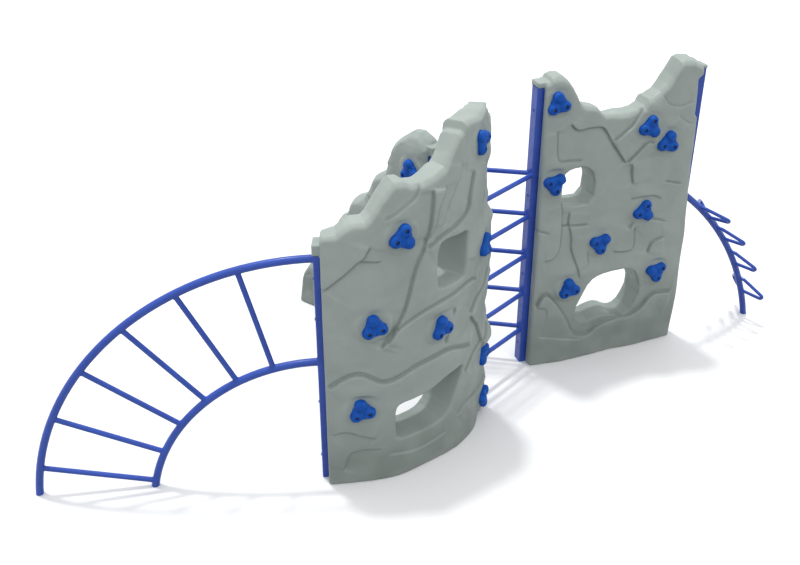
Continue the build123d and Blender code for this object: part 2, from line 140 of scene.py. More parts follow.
def soft_noise(s: Points, z: Points, cell: float, seed: int, creased: bool = False) -> Points:
    """Lattice noise between -1 and 1, smooth or in flat facets.

    Args:
        s: first coordinate.
        z: second coordinate.
        cell: size of the lattice's cells.
        seed: which noise.
        creased: flat facets with creases between them.

    Returns:
        The noise at each place.
    """
    lattice = np.random.default_rng(seed).uniform(-1.0, 1.0, (LATTICE, LATTICE))
    u, v = s / cell + 40.0, z / cell + 40.0
    i, j = np.floor(u).astype(int) % (LATTICE - 1), np.floor(v).astype(int) % (LATTICE - 1)
    fu, fv = u - np.floor(u), v - np.floor(v)
    a, b, c, e = lattice[i, j], lattice[i + 1, j], lattice[i, j + 1], lattice[i + 1, j + 1]
    if creased:
        under = a + (b - a) * fu + (e - b) * fv
        over = a + (c - a) * fv + (e - c) * fu
        return np.where(fu > fv, under, over)
    fu, fv = (f ** 3 * (f * (6.0 * f - 15.0) + 10.0) for f in (fu, fv))
    low = a * (1.0 - fu) + b * fu
    high = c * (1.0 - fu) + e * fu
    return low * (1.0 - fv) + high * fv


def eased_line(points: Pairs, closed: bool, rounds: int = 2) -> Points:
    """Cut the corners of a line, so that it bends gently.

    Args:
        points: the line's corners in millimetres.
        closed: whether the line is a loop.
        rounds: how many times its corners are cut.

    Returns:
        The eased line's points in metres.
    """
    line = np.array(points, float) * MM
    for _ in range(rounds):
        after = np.roll(line, -1, axis=0) if closed else line[1:]
        before = line if closed else line[:-1]
        cut = np.empty((2 * len(before), 2))
        cut[0::2] = 0.75 * before + 0.25 * after
        cut[1::2] = 0.25 * before + 0.75 * after
        line = cut if closed else np.vstack([line[:1], cut, line[-1:]])
    return line


def line_distance(s: Points, z: Points, line: Points) -> tuple[Points, Points, Points, float]:
    """Distance from each place to a line.

    Args:
        s: places along the panel.
        z: heights.
        line: the line's points.

    Returns:
        Distance, which side (+1 left of the line's run), run along the line, and the line's length.
    """
    best = np.full(np.broadcast(s, z).shape, FAR)
    side, run = np.ones_like(best), np.zeros_like(best)
    passed = 0.0
    for a, b in zip(line[:-1], line[1:]):
        step = b - a
        length = float(np.hypot(*step)) or TINY
        t = np.clip(((s - a[0]) * step[0] + (z - a[1]) * step[1]) / length ** 2, 0.0, 1.0)
        gap = np.hypot(s - a[0] - t * step[0], z - a[1] - t * step[1])
        nearer = gap < best
        best = np.where(nearer, gap, best)
        side = np.where(nearer, np.sign(step[0] * (z - a[1]) - step[1] * (s - a[0])), side)
        run = np.where(nearer, passed + t * length, run)
        passed += length
    return best, side, run, passed


def depth_inside(s: Points, z: Points, outline: Points) -> Points:
    """Distance inside a closed outline, negative outside it.

    Args:
        s: places along the panel.
        z: heights.
        outline: the outline's corners.

    Returns:
        The distance at each place.
    """
    loop = np.vstack([outline, outline[:1]])
    gap, _, _, _ = line_distance(s, z, loop)
    inside = np.zeros(gap.shape, bool)
    for (s0, z0), (s1, z1) in zip(loop[:-1], loop[1:]):
        crosses = (z0 > z) != (z1 > z)
        at = s0 + (z - z0) * (s1 - s0) / ((z1 - z0) if z1 != z0 else TINY)
        inside ^= crosses & (s < at)
    return np.where(inside, gap, -gap)


def along_line(marks: Pairs, at: Points) -> Points:
    """Read a profile, given as pairs in millimetres, at each place in metres."""
    table = np.array(marks) * MM
    return np.interp(at, table[:, 0], table[:, 1])


def sample(grid: Points, axes: tuple[Points, Points], points: Points) -> Points:
    """Read a grid over s and z at each point, evened out between its marks.

    Args:
        grid: one value to each mark.
        axes: the grid's places along the panel and its heights.
        points: rows of s, d and z.

    Returns:
        The value at each point.
    """
    step = axes[0][1] - axes[0][0]
    u, w = (points[:, 0] - axes[0][0]) / step, (points[:, 2] - axes[1][0]) / step
    i, k = (np.clip(v.astype(int), 0, len(axis) - 2) for v, axis in zip((u, w), axes))
    u, w = u - i, w - k
    low = grid[i, k] * (1.0 - u) + grid[i + 1, k] * u
    return low * (1.0 - w) + (grid[i, k + 1] * (1.0 - u) + grid[i + 1, k + 1] * u) * w


def surface_net(values: Points, axes: Sequence[Points]) -> tuple[Points, Points]:
    """Mesh the zero surface of a field on a grid, one vertex to each cell that it crosses.

    Args:
        values: the field, negative inside the solid.
        axes: the grid's places along its three axes.

    Returns:
        Vertices in the grid's own coordinates, and quads that face outwards.
    """
    inside = values < 0.0
    size = np.array(values.shape)
    corners = [(i, j, k) for i in (0, 1) for j in (0, 1) for k in (0, 1)]
    count = np.zeros(size - 1, np.uint8)
    for i, j, k in corners:
        count += inside[i:size[0] - 1 + i, j:size[1] - 1 + j, k:size[2] - 1 + k]
    crossed = (count > 0) & (count < len(corners))
    cells = np.argwhere(crossed)
    ids = np.full(crossed.shape, -1, np.int64)
    ids[crossed] = np.arange(len(cells))
    at = [cells + np.array(c) for c in corners]
    value = [values[p[:, 0], p[:, 1], p[:, 2]] for p in at]
    place = [np.stack([axes[m][p[:, m]] for m in range(3)], 1) for p in at]
    total, hits = np.zeros((len(cells), 3)), np.zeros(len(cells))
    for a in range(len(corners)):
        for b in range(a + 1, len(corners)):
            if sum(x != y for x, y in zip(corners[a], corners[b])) != 1:
                continue
            cut = (value[a] < 0.0) != (value[b] < 0.0)
            t = value[a][cut] / (value[a][cut] - value[b][cut])
            total[cut] += place[a][cut] + t[:, None] * (place[b][cut] - place[a][cut])
            hits[cut] += 1.0
    quads = []
    for axis in range(3):
        u, v = (axis + 1) % 3, (axis + 2) % 3
        low, high = [slice(None)] * 3, [slice(None)] * 3
        low[axis], high[axis] = slice(0, -1), slice(1, None)
        solid_low = inside[tuple(low)]
        edge = np.argwhere(solid_low != inside[tuple(high)])
        ok = (edge[:, u] > 0) & (edge[:, v] > 0) & (edge[:, u] < size[u] - 1) & (edge[:, v] < size[v] - 1)
        edge = edge[ok]
        ring = []
        for du, dv in ((1, 1), (0, 1), (0, 0), (1, 0)):
            cell = edge.copy()
            cell[:, u] -= du
            cell[:, v] -= dv
            ring.append(ids[cell[:, 0], cell[:, 1], cell[:, 2]])
        quad = np.stack(ring, 1)
        outward = solid_low[edge[:, 0], edge[:, 1], edge[:, 2]]
        quads.append(np.where(outward[:, None], quad, quad[:, ::-1]))
    return total / hits[:, None], np.vstack(quads)


def make_piece(name: str, points: Points, faces: Points) -> bpy.types.Object:
    """Make a smooth-shaded mesh object from vertices and quads.

    Args:
        name: the piece's name.
        points: vertices in metres.
        faces: four vertex numbers to a face.

    Returns:
        The new object, linked to the scene.
    """
    mesh = bpy.data.meshes.new(name)
    mesh.vertices.add(len(points))
    mesh.vertices.foreach_set("co", points.astype(np.float32).ravel())
    mesh.loops.add(faces.size)
    mesh.loops.foreach_set("vertex_index", faces.astype(np.int32).ravel())
    mesh.polygons.add(len(faces))
    mesh.polygons.foreach_set("loop_start", np.arange(0, faces.size, 4, dtype=np.int32))
    mesh.polygons.foreach_set("use_smooth", np.ones(len(faces), bool))
    mesh.update(calc_edges=True)
    mesh.validate()
    piece = bpy.data.objects.new(name, mesh)
    bpy.context.scene.collection.objects.link(piece)
    return piece


def settle(piece: bpy.types.Object, slot: Slot, material: bpy.types.Material,
           *nodes: str) -> bpy.types.Object:
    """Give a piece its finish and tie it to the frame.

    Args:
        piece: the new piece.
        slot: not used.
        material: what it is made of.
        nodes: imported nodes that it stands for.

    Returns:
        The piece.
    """
    piece.data.materials.clear()
    piece.data.materials.append(material)
    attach(piece, "root")
    if nodes:
        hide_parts(*nodes)
    LOG.info("%s: %d faces, stands for %s", piece.name, len(piece.data.polygons), list(nodes))
    return piece


# ---- finishes


@dataclass(frozen=True)
class Finish:
    """A surface: its colours, gloss and grain, built as shader nodes that follow the piece's own coordinates."""

    name: str
    pale: tuple[float, float, float]
    dark: tuple[float, float, float]
    mottle: float
    rough_low: float
    rough_high: float
    grain: float
    grain_depth: float
    wave: float = 0.0
    wave_depth: float = 0.0
    metal: float = 0.0
    coat: float = 0.0
    specular: float = 0.5
    # How dark a painted shade makes the colour, as a share of the dark colour; none when zero.
    painted_shade: float = 0.0
    coat_rough: float = 0.12
    mottle_range: tuple[float, float] = (0.32, 0.68)
    scuff_share: float = 3.1
    scuff_range: tuple[float, float] = (0.35, 0.7)
    grain_strength: float = 0.6
    wave_strength: float = 0.7

    def build(self) -> bpy.types.Material:
        """Make the material.

        Returns:
            The new material.
        """
        material = bpy.data.materials.new(self.name)
        material.use_nodes = True
        nodes, links = material.node_tree.nodes, material.node_tree.links
        shader = nodes["Principled BSDF"]
        shader.inputs["Metallic"].default_value = self.metal
        shader.inputs["Coat Weight"].default_value = self.coat
        shader.inputs["Coat Roughness"].default_value = self.coat_rough
        shader.inputs["Specular IOR Level"].default_value = self.specular
        place = nodes.new("ShaderNodeTexCoord")
        mottle = self._noise(nodes, links, place, self.mottle, 6.0)
        colour = nodes.new("ShaderNodeMix")
        colour.data_type = "RGBA"
        colour.inputs["A"].default_value = (*self.dark, 1.0)
        colour.inputs["B"].default_value = (*self.pale, 1.0)
        spread = self._range(nodes, links, mottle, *self.mottle_range, 0.0, 1.0)
        links.new(spread, colour.inputs["Factor"])
        shown = colour.outputs["Result"]
        # Painted shade: where the mesh's shade attribute is high, the base colour is mixed towards a darker copy of the
        # dark colour.
        if self.painted_shade:
            held = nodes.new("ShaderNodeAttribute")
            held.attribute_name = "painted_shade"
            darker = nodes.new("ShaderNodeMix")
            darker.data_type = "RGBA"
            darker.inputs["B"].default_value = (*(self.painted_shade * c for c in self.dark), 1.0)
            links.new(shown, darker.inputs["A"])
            links.new(held.outputs["Fac"], darker.inputs["Factor"])
            shown = darker.outputs["Result"]
        links.new(shown, shader.inputs["Base Color"])
        scuff = self._noise(nodes, links, place, self.mottle * self.scuff_share, 9.0)
        gloss = self._range(nodes, links, scuff, *self.scuff_range, self.rough_low, self.rough_high)
        links.new(gloss, shader.inputs["Roughness"])
        bump = nodes.new("ShaderNodeBump")
        bump.inputs["Strength"].default_value = self.grain_strength
        bump.inputs["Distance"].default_value = self.grain_depth
        links.new(self._noise(nodes, links, place, self.grain, 4.0), bump.inputs["Height"])
        if self.wave:
            swell = nodes.new("ShaderNodeBump")
            swell.inputs["Strength"].default_value = self.wave_strength
            swell.inputs["Distance"].default_value = self.wave_depth
            links.new(self._noise(nodes, links, place, self.wave, 3.0), swell.inputs["Height"])
            links.new(swell.outputs["Normal"], bump.inputs["Normal"])
        links.new(bump.outputs["Normal"], shader.inputs["Normal"])
        return material

    @staticmethod
    def _noise(nodes: bpy.types.Nodes, links: bpy.types.NodeLinks, place: bpy.types.Node, scale: float,
               detail: float) -> bpy.types.NodeSocket:
        """Noise of one scale over the piece.

        Args:
            nodes: the material's nodes.
            links: the material's links.
            place: the coordinate node.
            scale: cells to a metre.
            detail: how many finer layers.

        Returns:
            The noise's value socket.
        """
        noise = nodes.new("ShaderNodeTexNoise")
        noise.inputs["Scale"].default_value = scale
        noise.inputs["Detail"].default_value = detail
        links.new(place.outputs["Object"], noise.inputs["Vector"])
        return noise.outputs["Fac"]

    @staticmethod
    def _range(nodes: bpy.types.Nodes, links: bpy.types.NodeLinks, value: bpy.types.NodeSocket, low: float,
               high: float, to_low: float, to_high: float) -> bpy.types.NodeSocket:
        """Stretch a value from one range to another.

        Args:
            nodes: the material's nodes.
            links: the material's links.
            value: the socket to read.
            low: start of its range.
            high: end of its range.
            to_low: what low becomes.
            to_high: what high becomes.

        Returns:
            The stretched value's socket.
        """
        spread = nodes.new("ShaderNodeMapRange")
        for key, number in (("From Min", low), ("From Max", high), ("To Min", to_low), ("To Max", to_high)):
            spread.inputs[key].default_value = number
        links.new(value, spread.inputs["Value"])
        return spread.outputs["Result"]


# The rock's last factor sets how dark its painted shade is, in the cracks and at the foot.
MOULDED_ROCK = Finish("moulded_rock", (0.372, 0.427, 0.403), (0.330, 0.384, 0.36), 5.0, 0.40, 0.56,
                      260.0, 0.0007, 22.0, 0.003, specular=0.35, painted_shade=0.66)
BLUE_POWDER_COAT = Finish("blue_powder_coat", (0.030, 0.088, 0.47), (0.023, 0.070, 0.40), 9.0, 0.32, 0.46,
                          420.0, 0.0003, 90.0, 0.0006, coat=0.1, specular=0.35)
BLUE_HOLD_RESIN = Finish("blue_hold_resin", (0.003, 0.105, 0.52), (0.002, 0.072, 0.40), 30.0, 0.42, 0.6,
                         520.0, 0.0008, 60.0, 0.002, specular=0.22)
DARK_STEEL = Finish("dark_fastener_steel", (0.05, 0.05, 0.06), (0.02, 0.02, 0.025), 60.0, 0.35, 0.5,
                    600.0, 0.0001, metal=0.6)
THREAD_BRASS = Finish("thread_brass", (0.70, 0.52, 0.22), (0.58, 0.42, 0.16), 60.0, 0.25, 0.4,
                      600.0, 0.0001, metal=1.0)
PALE_GROUND = Finish("pale_ground", (0.92, 0.93, 0.94), (0.90, 0.91, 0.92), 1.5, 0.8, 0.9, 40.0, 0.0005,
                     specular=0.1)


# ---- rock panels


@dataclass(frozen=True)
class WallLine:
    """Where a panel runs: s along it from its hub post, d out of its front, z up."""

    start: tuple[float, float]
    heading: float
    front_side: int
    length: float
    radius: float = 0.0

    def place(self, s: Points, d: Points, z: Points) -> Points:
        """World points of panel coordinates in metres.

        Args:
            s: places along the panel.
            d: depths out of its front.
            z: heights.

        Returns:
            One row of three numbers to a point.
        """
        x0, y0 = self.start[0] * MM, self.start[1] * MM
        if not self.radius:
            along, out = heading_vector(self.heading), heading_vector(self.heading + QUARTER * self.front_side)
            return np.stack([x0 + along[0] * s + out[0] * d, y0 + along[1] * s + out[1] * d, z], -1)
        r = self.radius * MM
        out = heading_vector(self.heading + QUARTER * self.front_side)
        angle = math.radians(self.heading + QUARTER * self.front_side) - s / r
        x, y = x0 - out[0] * r + (r + d) * np.cos(angle), y0 - out[1] * r + (r + d) * np.sin(angle)
        return np.stack([x, y, z], -1)

    def outward(self, s: float, side: Side) -> Points:
        """Unit vector out of a face.

        Args:
            s: place along the panel.
            side: which face.

        Returns:
            The vector, level with the ground.
        """
        turn = self.heading - (math.degrees(s / (self.radius * MM)) if self.radius else 0.0)
        return heading_vector(turn + QUARTER * self.front_side) * side.value

    def flat(self, s: Points, centre: float, depth: float, side: Side) -> Points:
        """Depth of the flat plane that touches a face at one place, which a curved panel's depth departs from.

        Args:
            s: places along the panel.
            centre: where the plane touches.
            depth: the face's depth there.
            side: which face.

        Returns:
            The plane's depth at each place.
        """
        if not self.radius:
            return np.full_like(s, depth)
        r = self.radius * MM
        return side.value * ((r + side.value * depth) / np.cos((s - centre) / r) - r)


@dataclass(frozen=True)
class Crack:
    """A soft crack in the rock: a groove, and a ledge where one side stands proud of the other.

    The ledge fades out over its reach. The groove is wider on the low side, and both ease in at the crack's ends.
    """

    line: Pairs
    ledge: float = 9.0
    groove: float = 9.0
    width: float = 6.0
    reach: float = 95.0
    lip: float = 5.0
    ease: float = 30.0
    ease_share: float = 0.2
    high_side: float = 0.7
    ledge_share: float = 0.8
    low_side: float = 1.3
    # Groove depth at which the painted shade in the crack is at its darkest.
    full_shade_groove: float = 9.0

    def relief(self, s: Points, z: Points) -> tuple[Points, Points]:
        """Change in the rock's depth at each place, and how much painted shade darkens the crack.

        Args:
            s: places along the panel.
            z: heights.

        Returns:
            The change in depth in metres, and the painted shade in the crack's groove from 0 to 1.
        """
        gap, side, run, length = line_distance(s, z, eased_line(self.line, False))
        fade = min(self.ease * MM, self.ease_share * length)
        ends = smooth_step(0.0, fade, run) * smooth_step(0.0, fade, length - run)
        across = side * gap
        near = np.exp(-(gap / (self.reach * MM)) ** 2)
        step = self.ledge_share * self.ledge * MM * np.tanh(across / (self.lip * MM)) * near
        soft = np.where(across * self.ledge > 0.0, self.high_side, self.low_side) * self.width * MM
        notch = np.exp(-(gap / soft) ** 2)
        # The second value is painted shade in the groove, deepest where the groove is, fading out at the crack's ends.
        return ends * (step - self.groove * MM * notch), ends * notch * min(1.0, self.groove / self.full_shade_groove)


@dataclass(frozen=True)
class Boulder:
    """A block that stands out of the rock with flat facets: its middle, its reach, its height and its turn.

    Its top is flat over a share of its reach, which differs a little from facet to facet.
    """

    s: float
    z: float
    reach: float
    height: float
    turn: float = 0.0
    facets: int = 6
    flat_share: float = 0.45
    uneven_share: float = 0.08
    uneven_turn: float = 17.0

    def relief(self, s: Points, z: Points) -> Points:
        """How far the block stands out at each place.

        Args:
            s: places along the panel.
            z: heights.

        Returns:
            The change in depth in metres.
        """
        slope = np.full(np.broadcast(s, z).shape, -FAR)
        for k in range(self.facets):
            angle = math.radians(self.turn + 360.0 * k / self.facets + self.uneven_turn * math.sin(2.3 * k))
            run = (s - self.s * MM) * math.cos(angle) + (z - self.z * MM) * math.sin(angle)
            flat = self.flat_share + self.uneven_share * math.cos(3.1 * k)
            slope = np.maximum(slope, (run / (self.reach * MM) - flat) / (1.0 - self.flat_share))
        return self.height * MM * (1.0 - np.clip(slope, 0.0, 1.0))


@dataclass(frozen=True)
class Hold:
    """A handhold's place on a panel: the face that it is on and its turn in degrees."""

    s: float
    z: float
    turn: float
    side: Side = Side.FRONT


@dataclass(frozen=True)
class PostSlot:
    """The channel and cap for a post at one end of a panel: its middle, the way into the panel and two heights."""

    s: float
    inward: int
    height: float
    cap: float


@dataclass
class RockPanel:
    """A hollow moulded rock panel: its outline, relief and windows, in millimetres.

    The crest is the outline of the rock's top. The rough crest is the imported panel's, which sets the flats under the
    handholds. The end line says how far the rock's outer end stands past its post's middle at each height.
    """

    name: str
    line: WallLine
    crest: Pairs
    rough_crest: Pairs
    windows: tuple[Pairs, ...]
    posts: tuple[PostSlot, ...]
    holds: tuple[Hold, ...]
    front_cracks: tuple[Crack, ...]
    back_cracks: tuple[Crack, ...]
    boulders: tuple[Boulder, ...] = ()
    foot: Pairs = ((0.0, 0.0), (1.0, 0.0))
    end_line: Pairs = ((0.0, 0.0), (1.0, 0.0))
    seed: int = 1
    front_depth: float = 112.0
    back_depth: float = 98.0
    crest_depth: float = 78.0
    foot_bulge: float = 16.0
    foot_reach: float = 550.0
    shoulder: float = 0.72
    pad_proud: float = 2.0
    pad_radius: float = 88.0
    pad_edge: float = 122.0
    brow: float = 13.0
    brow_up: float = 125.0
    brow_wide: float = 85.0
    brow_tall: float = 55.0
    swells: Pairs = ((8.5, 330.0), (3.0, 130.0), (1.0, 45.0))
    facet: float = 4.0
    facet_cell: float = 260.0
    facet_lean: float = 0.3
    edge_lumps: float = 0.0
    edge_cells: tuple[float, float] = (160.0, 70.0)
    edge_reach: tuple[float, float] = (300.0, 40.0)
    under_boulder: float = 0.4
    boulder_sink: float = 12.0
    set_back: float = 0.0
    face_round: float = 10.0
    crest_lift: float = 8.0
    crest_wobble: float = 12.0
    wobble_cell: float = 120.0
    wobble_depth: float = 80.0
    crest_round: float = 22.0
    crest_bevel: float = 17.0
    edge_round: float = 12.0
    end_round: float = 20.0
    window_round: float = 20.0
    cap_half: float = 45.5
    cap_run: float = 80.0
    cap_depth: float = 55.5
    cap_lip: float = 4.0
    cap_round: float = 8.0
    slot_gap: float = 1.5
    slot_round: float = 6.0
    # Painted shade at the foot: how dark the rock is painted near the ground, and the height where the darkening ends.
    foot_shade: float = 0.95
    foot_shade_top: float = 750.0
    cell: float = 5.0
    deep_cell: float = 9.0
    grid_start: tuple[float, float, float] = (-70.0, -170.0, -30.0)
    grid_room: tuple[float, float] = (80.0, 60.0)
    grid_front: float = 190.0
    quick_cells: float = 1.5
    bare_core: tuple[float, float] = (30.0, 60.0)
    patch_cell: float = 90.0

    def depth_under(self, z: Points, top: Points, side: Side) -> Points:
        """Depth of the rock before its relief: thick at the foot and thinner towards the crest.

        Args:
            z: heights.
            top: height of the crest over each of them.
            side: which face.

        Returns:
            Depth in metres from the panel's middle.
        """
        base = (self.front_depth if side is Side.FRONT else self.back_depth) * MM
        level = np.clip(z / top, 0.0, 1.0)
        over = np.maximum(0.0, level - self.shoulder) / (1.0 - self.shoulder)
        return base + self.foot_bulge * MM * (1.0 - level) ** 2 - (base - self.crest_depth * MM) * over ** 2

    def pad_depth(self, hold: Hold) -> float:
        """Depth of the flat pad that a handhold sits on."""
        top = along_line(self.rough_crest, np.array([hold.s * MM]))
        return float(self.depth_under(np.array([hold.z * MM]), top, hold.side)[0]) + self.pad_proud * MM

    def relief(self, s: Points, z: Points, side: Side) -> tuple[Points, Points]:
        """Swells, facets, cracks and boulders of a face.

        Args:
            s: places along the panel.
            z: heights.
            side: which face.

        Returns:
            The change in depth in metres, and the painted shade in the cracks.
        """
        seed = self.seed + (0 if side is Side.FRONT else 50)
        relief, painted_shade = np.zeros_like(s), np.zeros_like(s)
        for k, (height, cell) in enumerate(self.swells):
            relief = relief + height * MM * soft_noise(s, z, cell * MM, seed + k)
        tilted = soft_noise(s + self.facet_lean * z, z - 0.2 * s, self.facet_cell * MM, seed + 3, True)
        relief = relief + self.facet * MM * tilted
        coarse, fine = (cell * MM for cell in self.edge_cells)
        lumps = soft_noise(0.3 * s, z, coarse, seed + 4) + 0.4 * soft_noise(s, z, fine, seed + 5)
        near = smooth_step(self.edge_reach[0] * MM, self.edge_reach[1] * MM, s)
        relief = relief + self.edge_lumps * MM * lumps * near
        # Each crack's groove adds painted shade.
        for crack in self.front_cracks if side is Side.FRONT else self.back_cracks:
            change, held = crack.relief(s, z)
            relief, painted_shade = relief + change, np.maximum(painted_shade, held)
        if side is Side.FRONT:
            fade = np.clip(1.0 - z / (self.foot_reach * MM), 0.0, 1.0) ** 2
            relief = relief + along_line(self.foot, s) * fade
            for boulder in self.boulders:
                block = relief * self.under_boulder + boulder.relief(s, z) - self.boulder_sink * MM
                relief = np.maximum(relief, block)
            relief = relief - self.set_back * MM
        return relief, painted_shade

    def face_depth(self, s: Points, z: Points, side: Side) -> tuple[Points, Points]:
        """Depth of a face with its relief, and with the flats and brows at its handholds.

        Args:
            s: places along the panel.
            z: heights.
            side: which face.

        Returns:
            Depth in metres from the panel's middle, and the painted shade in its cracks.
        """
        relief, painted_shade = self.relief(s, z, side)
        depth = self.depth_under(z, along_line(self.crest, s), side) + relief
        for hold in self.holds:
            if hold.side is not side:
                continue
            beside, above = s - hold.s * MM, z - hold.z * MM
            off = (above - self.brow_up * MM) / (self.brow_tall * MM)
            depth = depth + self.brow * MM * np.exp(-(beside / (self.brow_wide * MM)) ** 2 - off ** 2)
            share = 1.0 - smooth_step(self.pad_radius * MM, self.pad_edge * MM, np.hypot(beside, above))
            depth = depth + share * (self.line.flat(s, hold.s * MM, self.pad_depth(hold), side) - depth)
            # No painted shade on a handhold's pad.
            painted_shade = painted_shade * (1.0 - share)
        return depth, painted_shade

    def solid(self, s: Points, d: Points, z: Points) -> tuple[Points, Points, Points]:
        """The panel as a field over a grid, negative inside the rock.

        Args:
            s: the grid's places along the panel.
            d: its depths.
            z: its heights.

        Returns:
            The field, and the painted shade in the cracks of its front and back over s and z.
        """
        ss, zz = np.meshgrid(s, z, indexing="ij")
        front, front_shade = self.face_depth(ss, zz, Side.FRONT)
        back, back_shade = self.face_depth(ss, zz, Side.BACK)
        dd, z3, s3 = d[None, :, None], z[None, None, :], s[:, None, None]
        faces = (dd - front[:, None, :], -dd - back[:, None, :])
        rock = soft_max(*faces, self.face_round * MM)
        wobble = soft_noise(ss, zz * 0.0, self.wobble_cell * MM, self.seed + 9)[:, None, :]
        wobble = wobble * (dd / (self.wobble_depth * MM))
        line = along_line(self.crest, s)[:, None, None]
        above = z3 - line - self.crest_wobble * MM * wobble - self.crest_lift * MM
        rock = soft_max(rock, above, self.crest_round * MM)
        for face in faces:
            rock = soft_max(rock, (above + face) * DIAGONAL + self.crest_bevel * MM, self.edge_round * MM)
        end = self.line.length * MM + along_line(self.end_line, z)[None, None, :]
        rock = soft_max(soft_max(rock, s3 - end, self.end_round * MM), -s3, self.end_round * MM)
        for post in self.posts:
            rock = soft_min(rock, self._cap(post, s3, dd, z3) + MM, self.cap_round * MM)
        rock = soft_max(rock, -z3, self.edge_round * MM)
        for outline in self.windows:
            window = depth_inside(ss, zz, eased_line(outline, True, 1))[:, None, :]
            rock = soft_max(rock, window, self.window_round * MM)
        for post in self.posts:
            rock = soft_max(rock, -self._slot(post, s3, dd, z3), self.slot_round * MM)
        return rock, front_shade, back_shade

    def _cap(self, post: PostSlot, s: Points, d: Points, z: Points) -> Points:
        """Field of the block that covers a post's top.

        Args:
            post: the post.
            s: places along the panel.
            d: depths.
            z: heights.

        Returns:
            The field, negative inside the block.
        """
        run = (s - post.s * MM) * post.inward
        level = np.maximum(-self.cap_half * MM - run, run - self.cap_run * MM)
        upright = np.maximum((post.height - self.cap_lip) * MM - z, z - post.cap * MM)
        return np.maximum(np.maximum(level, np.abs(d) - self.cap_depth * MM), upright)

    def _slot(self, post: PostSlot, s: Points, d: Points, z: Points) -> Points:
        """Field of the channel that a post stands in.

        Args:
            post: the post.
            s: places along the panel.
            d: depths.
            z: heights.

        Returns:
            The field, negative inside the channel.
        """
        run = (s - post.s * MM) * post.inward
        deep, wide = (0.5 * POST + BOLT_ROOM) * MM, (0.5 * POST + self.slot_gap) * MM
        return np.maximum(np.maximum(run - deep, np.abs(d) - wide), z - (post.height + self.slot_gap) * MM)

    def build(self, material: bpy.types.Material) -> bpy.types.Object:
        """Make the panel's mesh and dress it.

        Args:
            material: the rock's finish.

        Returns:
            The panel.
        """
        step = self.cell * MM * 1.0
        highest = max(z for _, z in self.crest) * MM
        s = np.arange(self.grid_start[0] * MM, self.line.length * MM + self.grid_room[0] * MM, step)
        d = np.arange(self.grid_start[1] * MM, self.grid_front * MM, self.deep_cell * MM)
        z = np.arange(self.grid_start[2] * MM, highest + self.grid_room[1] * MM, step)
        values, front_shade, back_shade = self.solid(s, d, z)
        points, faces = surface_net(values, (s, d, z))
        if self.line.front_side < 0:
            faces = faces[:, ::-1]
        piece = make_piece(self.name + "_rock", self.line.place(*points.T), faces)
        # Painted crack shade is read onto the mesh's points from the face nearer each point, and kept off the surfaces
        # close to the panel's middle plane.
        in_front, behind = sample(front_shade, (s, z), points), sample(back_shade, (s, z), points)
        painted_shade = np.where(points[:, 1] > 0.0, in_front, behind)
        painted_shade = painted_shade * smooth_step(self.bare_core[0] * MM, self.bare_core[1] * MM, np.abs(points[:, 1]))
        patches = 0.8 + 0.2 * soft_noise(points[:, 0], points[:, 2], self.patch_cell * MM, 5)
        # Painted shade at the foot: the rock darkens towards the ground in uneven patches, in place of the shade cast
        # near the floor.
        painted_shade = np.maximum(painted_shade, self.foot_shade * smooth_step(self.foot_shade_top * MM, 0.0, points[:, 2]) * patches)
        # The painted shade is kept as a point attribute that the rock's material reads.
        piece.data.attributes.new("painted_shade", "FLOAT", "POINT").data.foreach_set("value", painted_shade.astype(np.float32))
        return settle(piece, Slot.ROCK, material, self.name + "_panel")


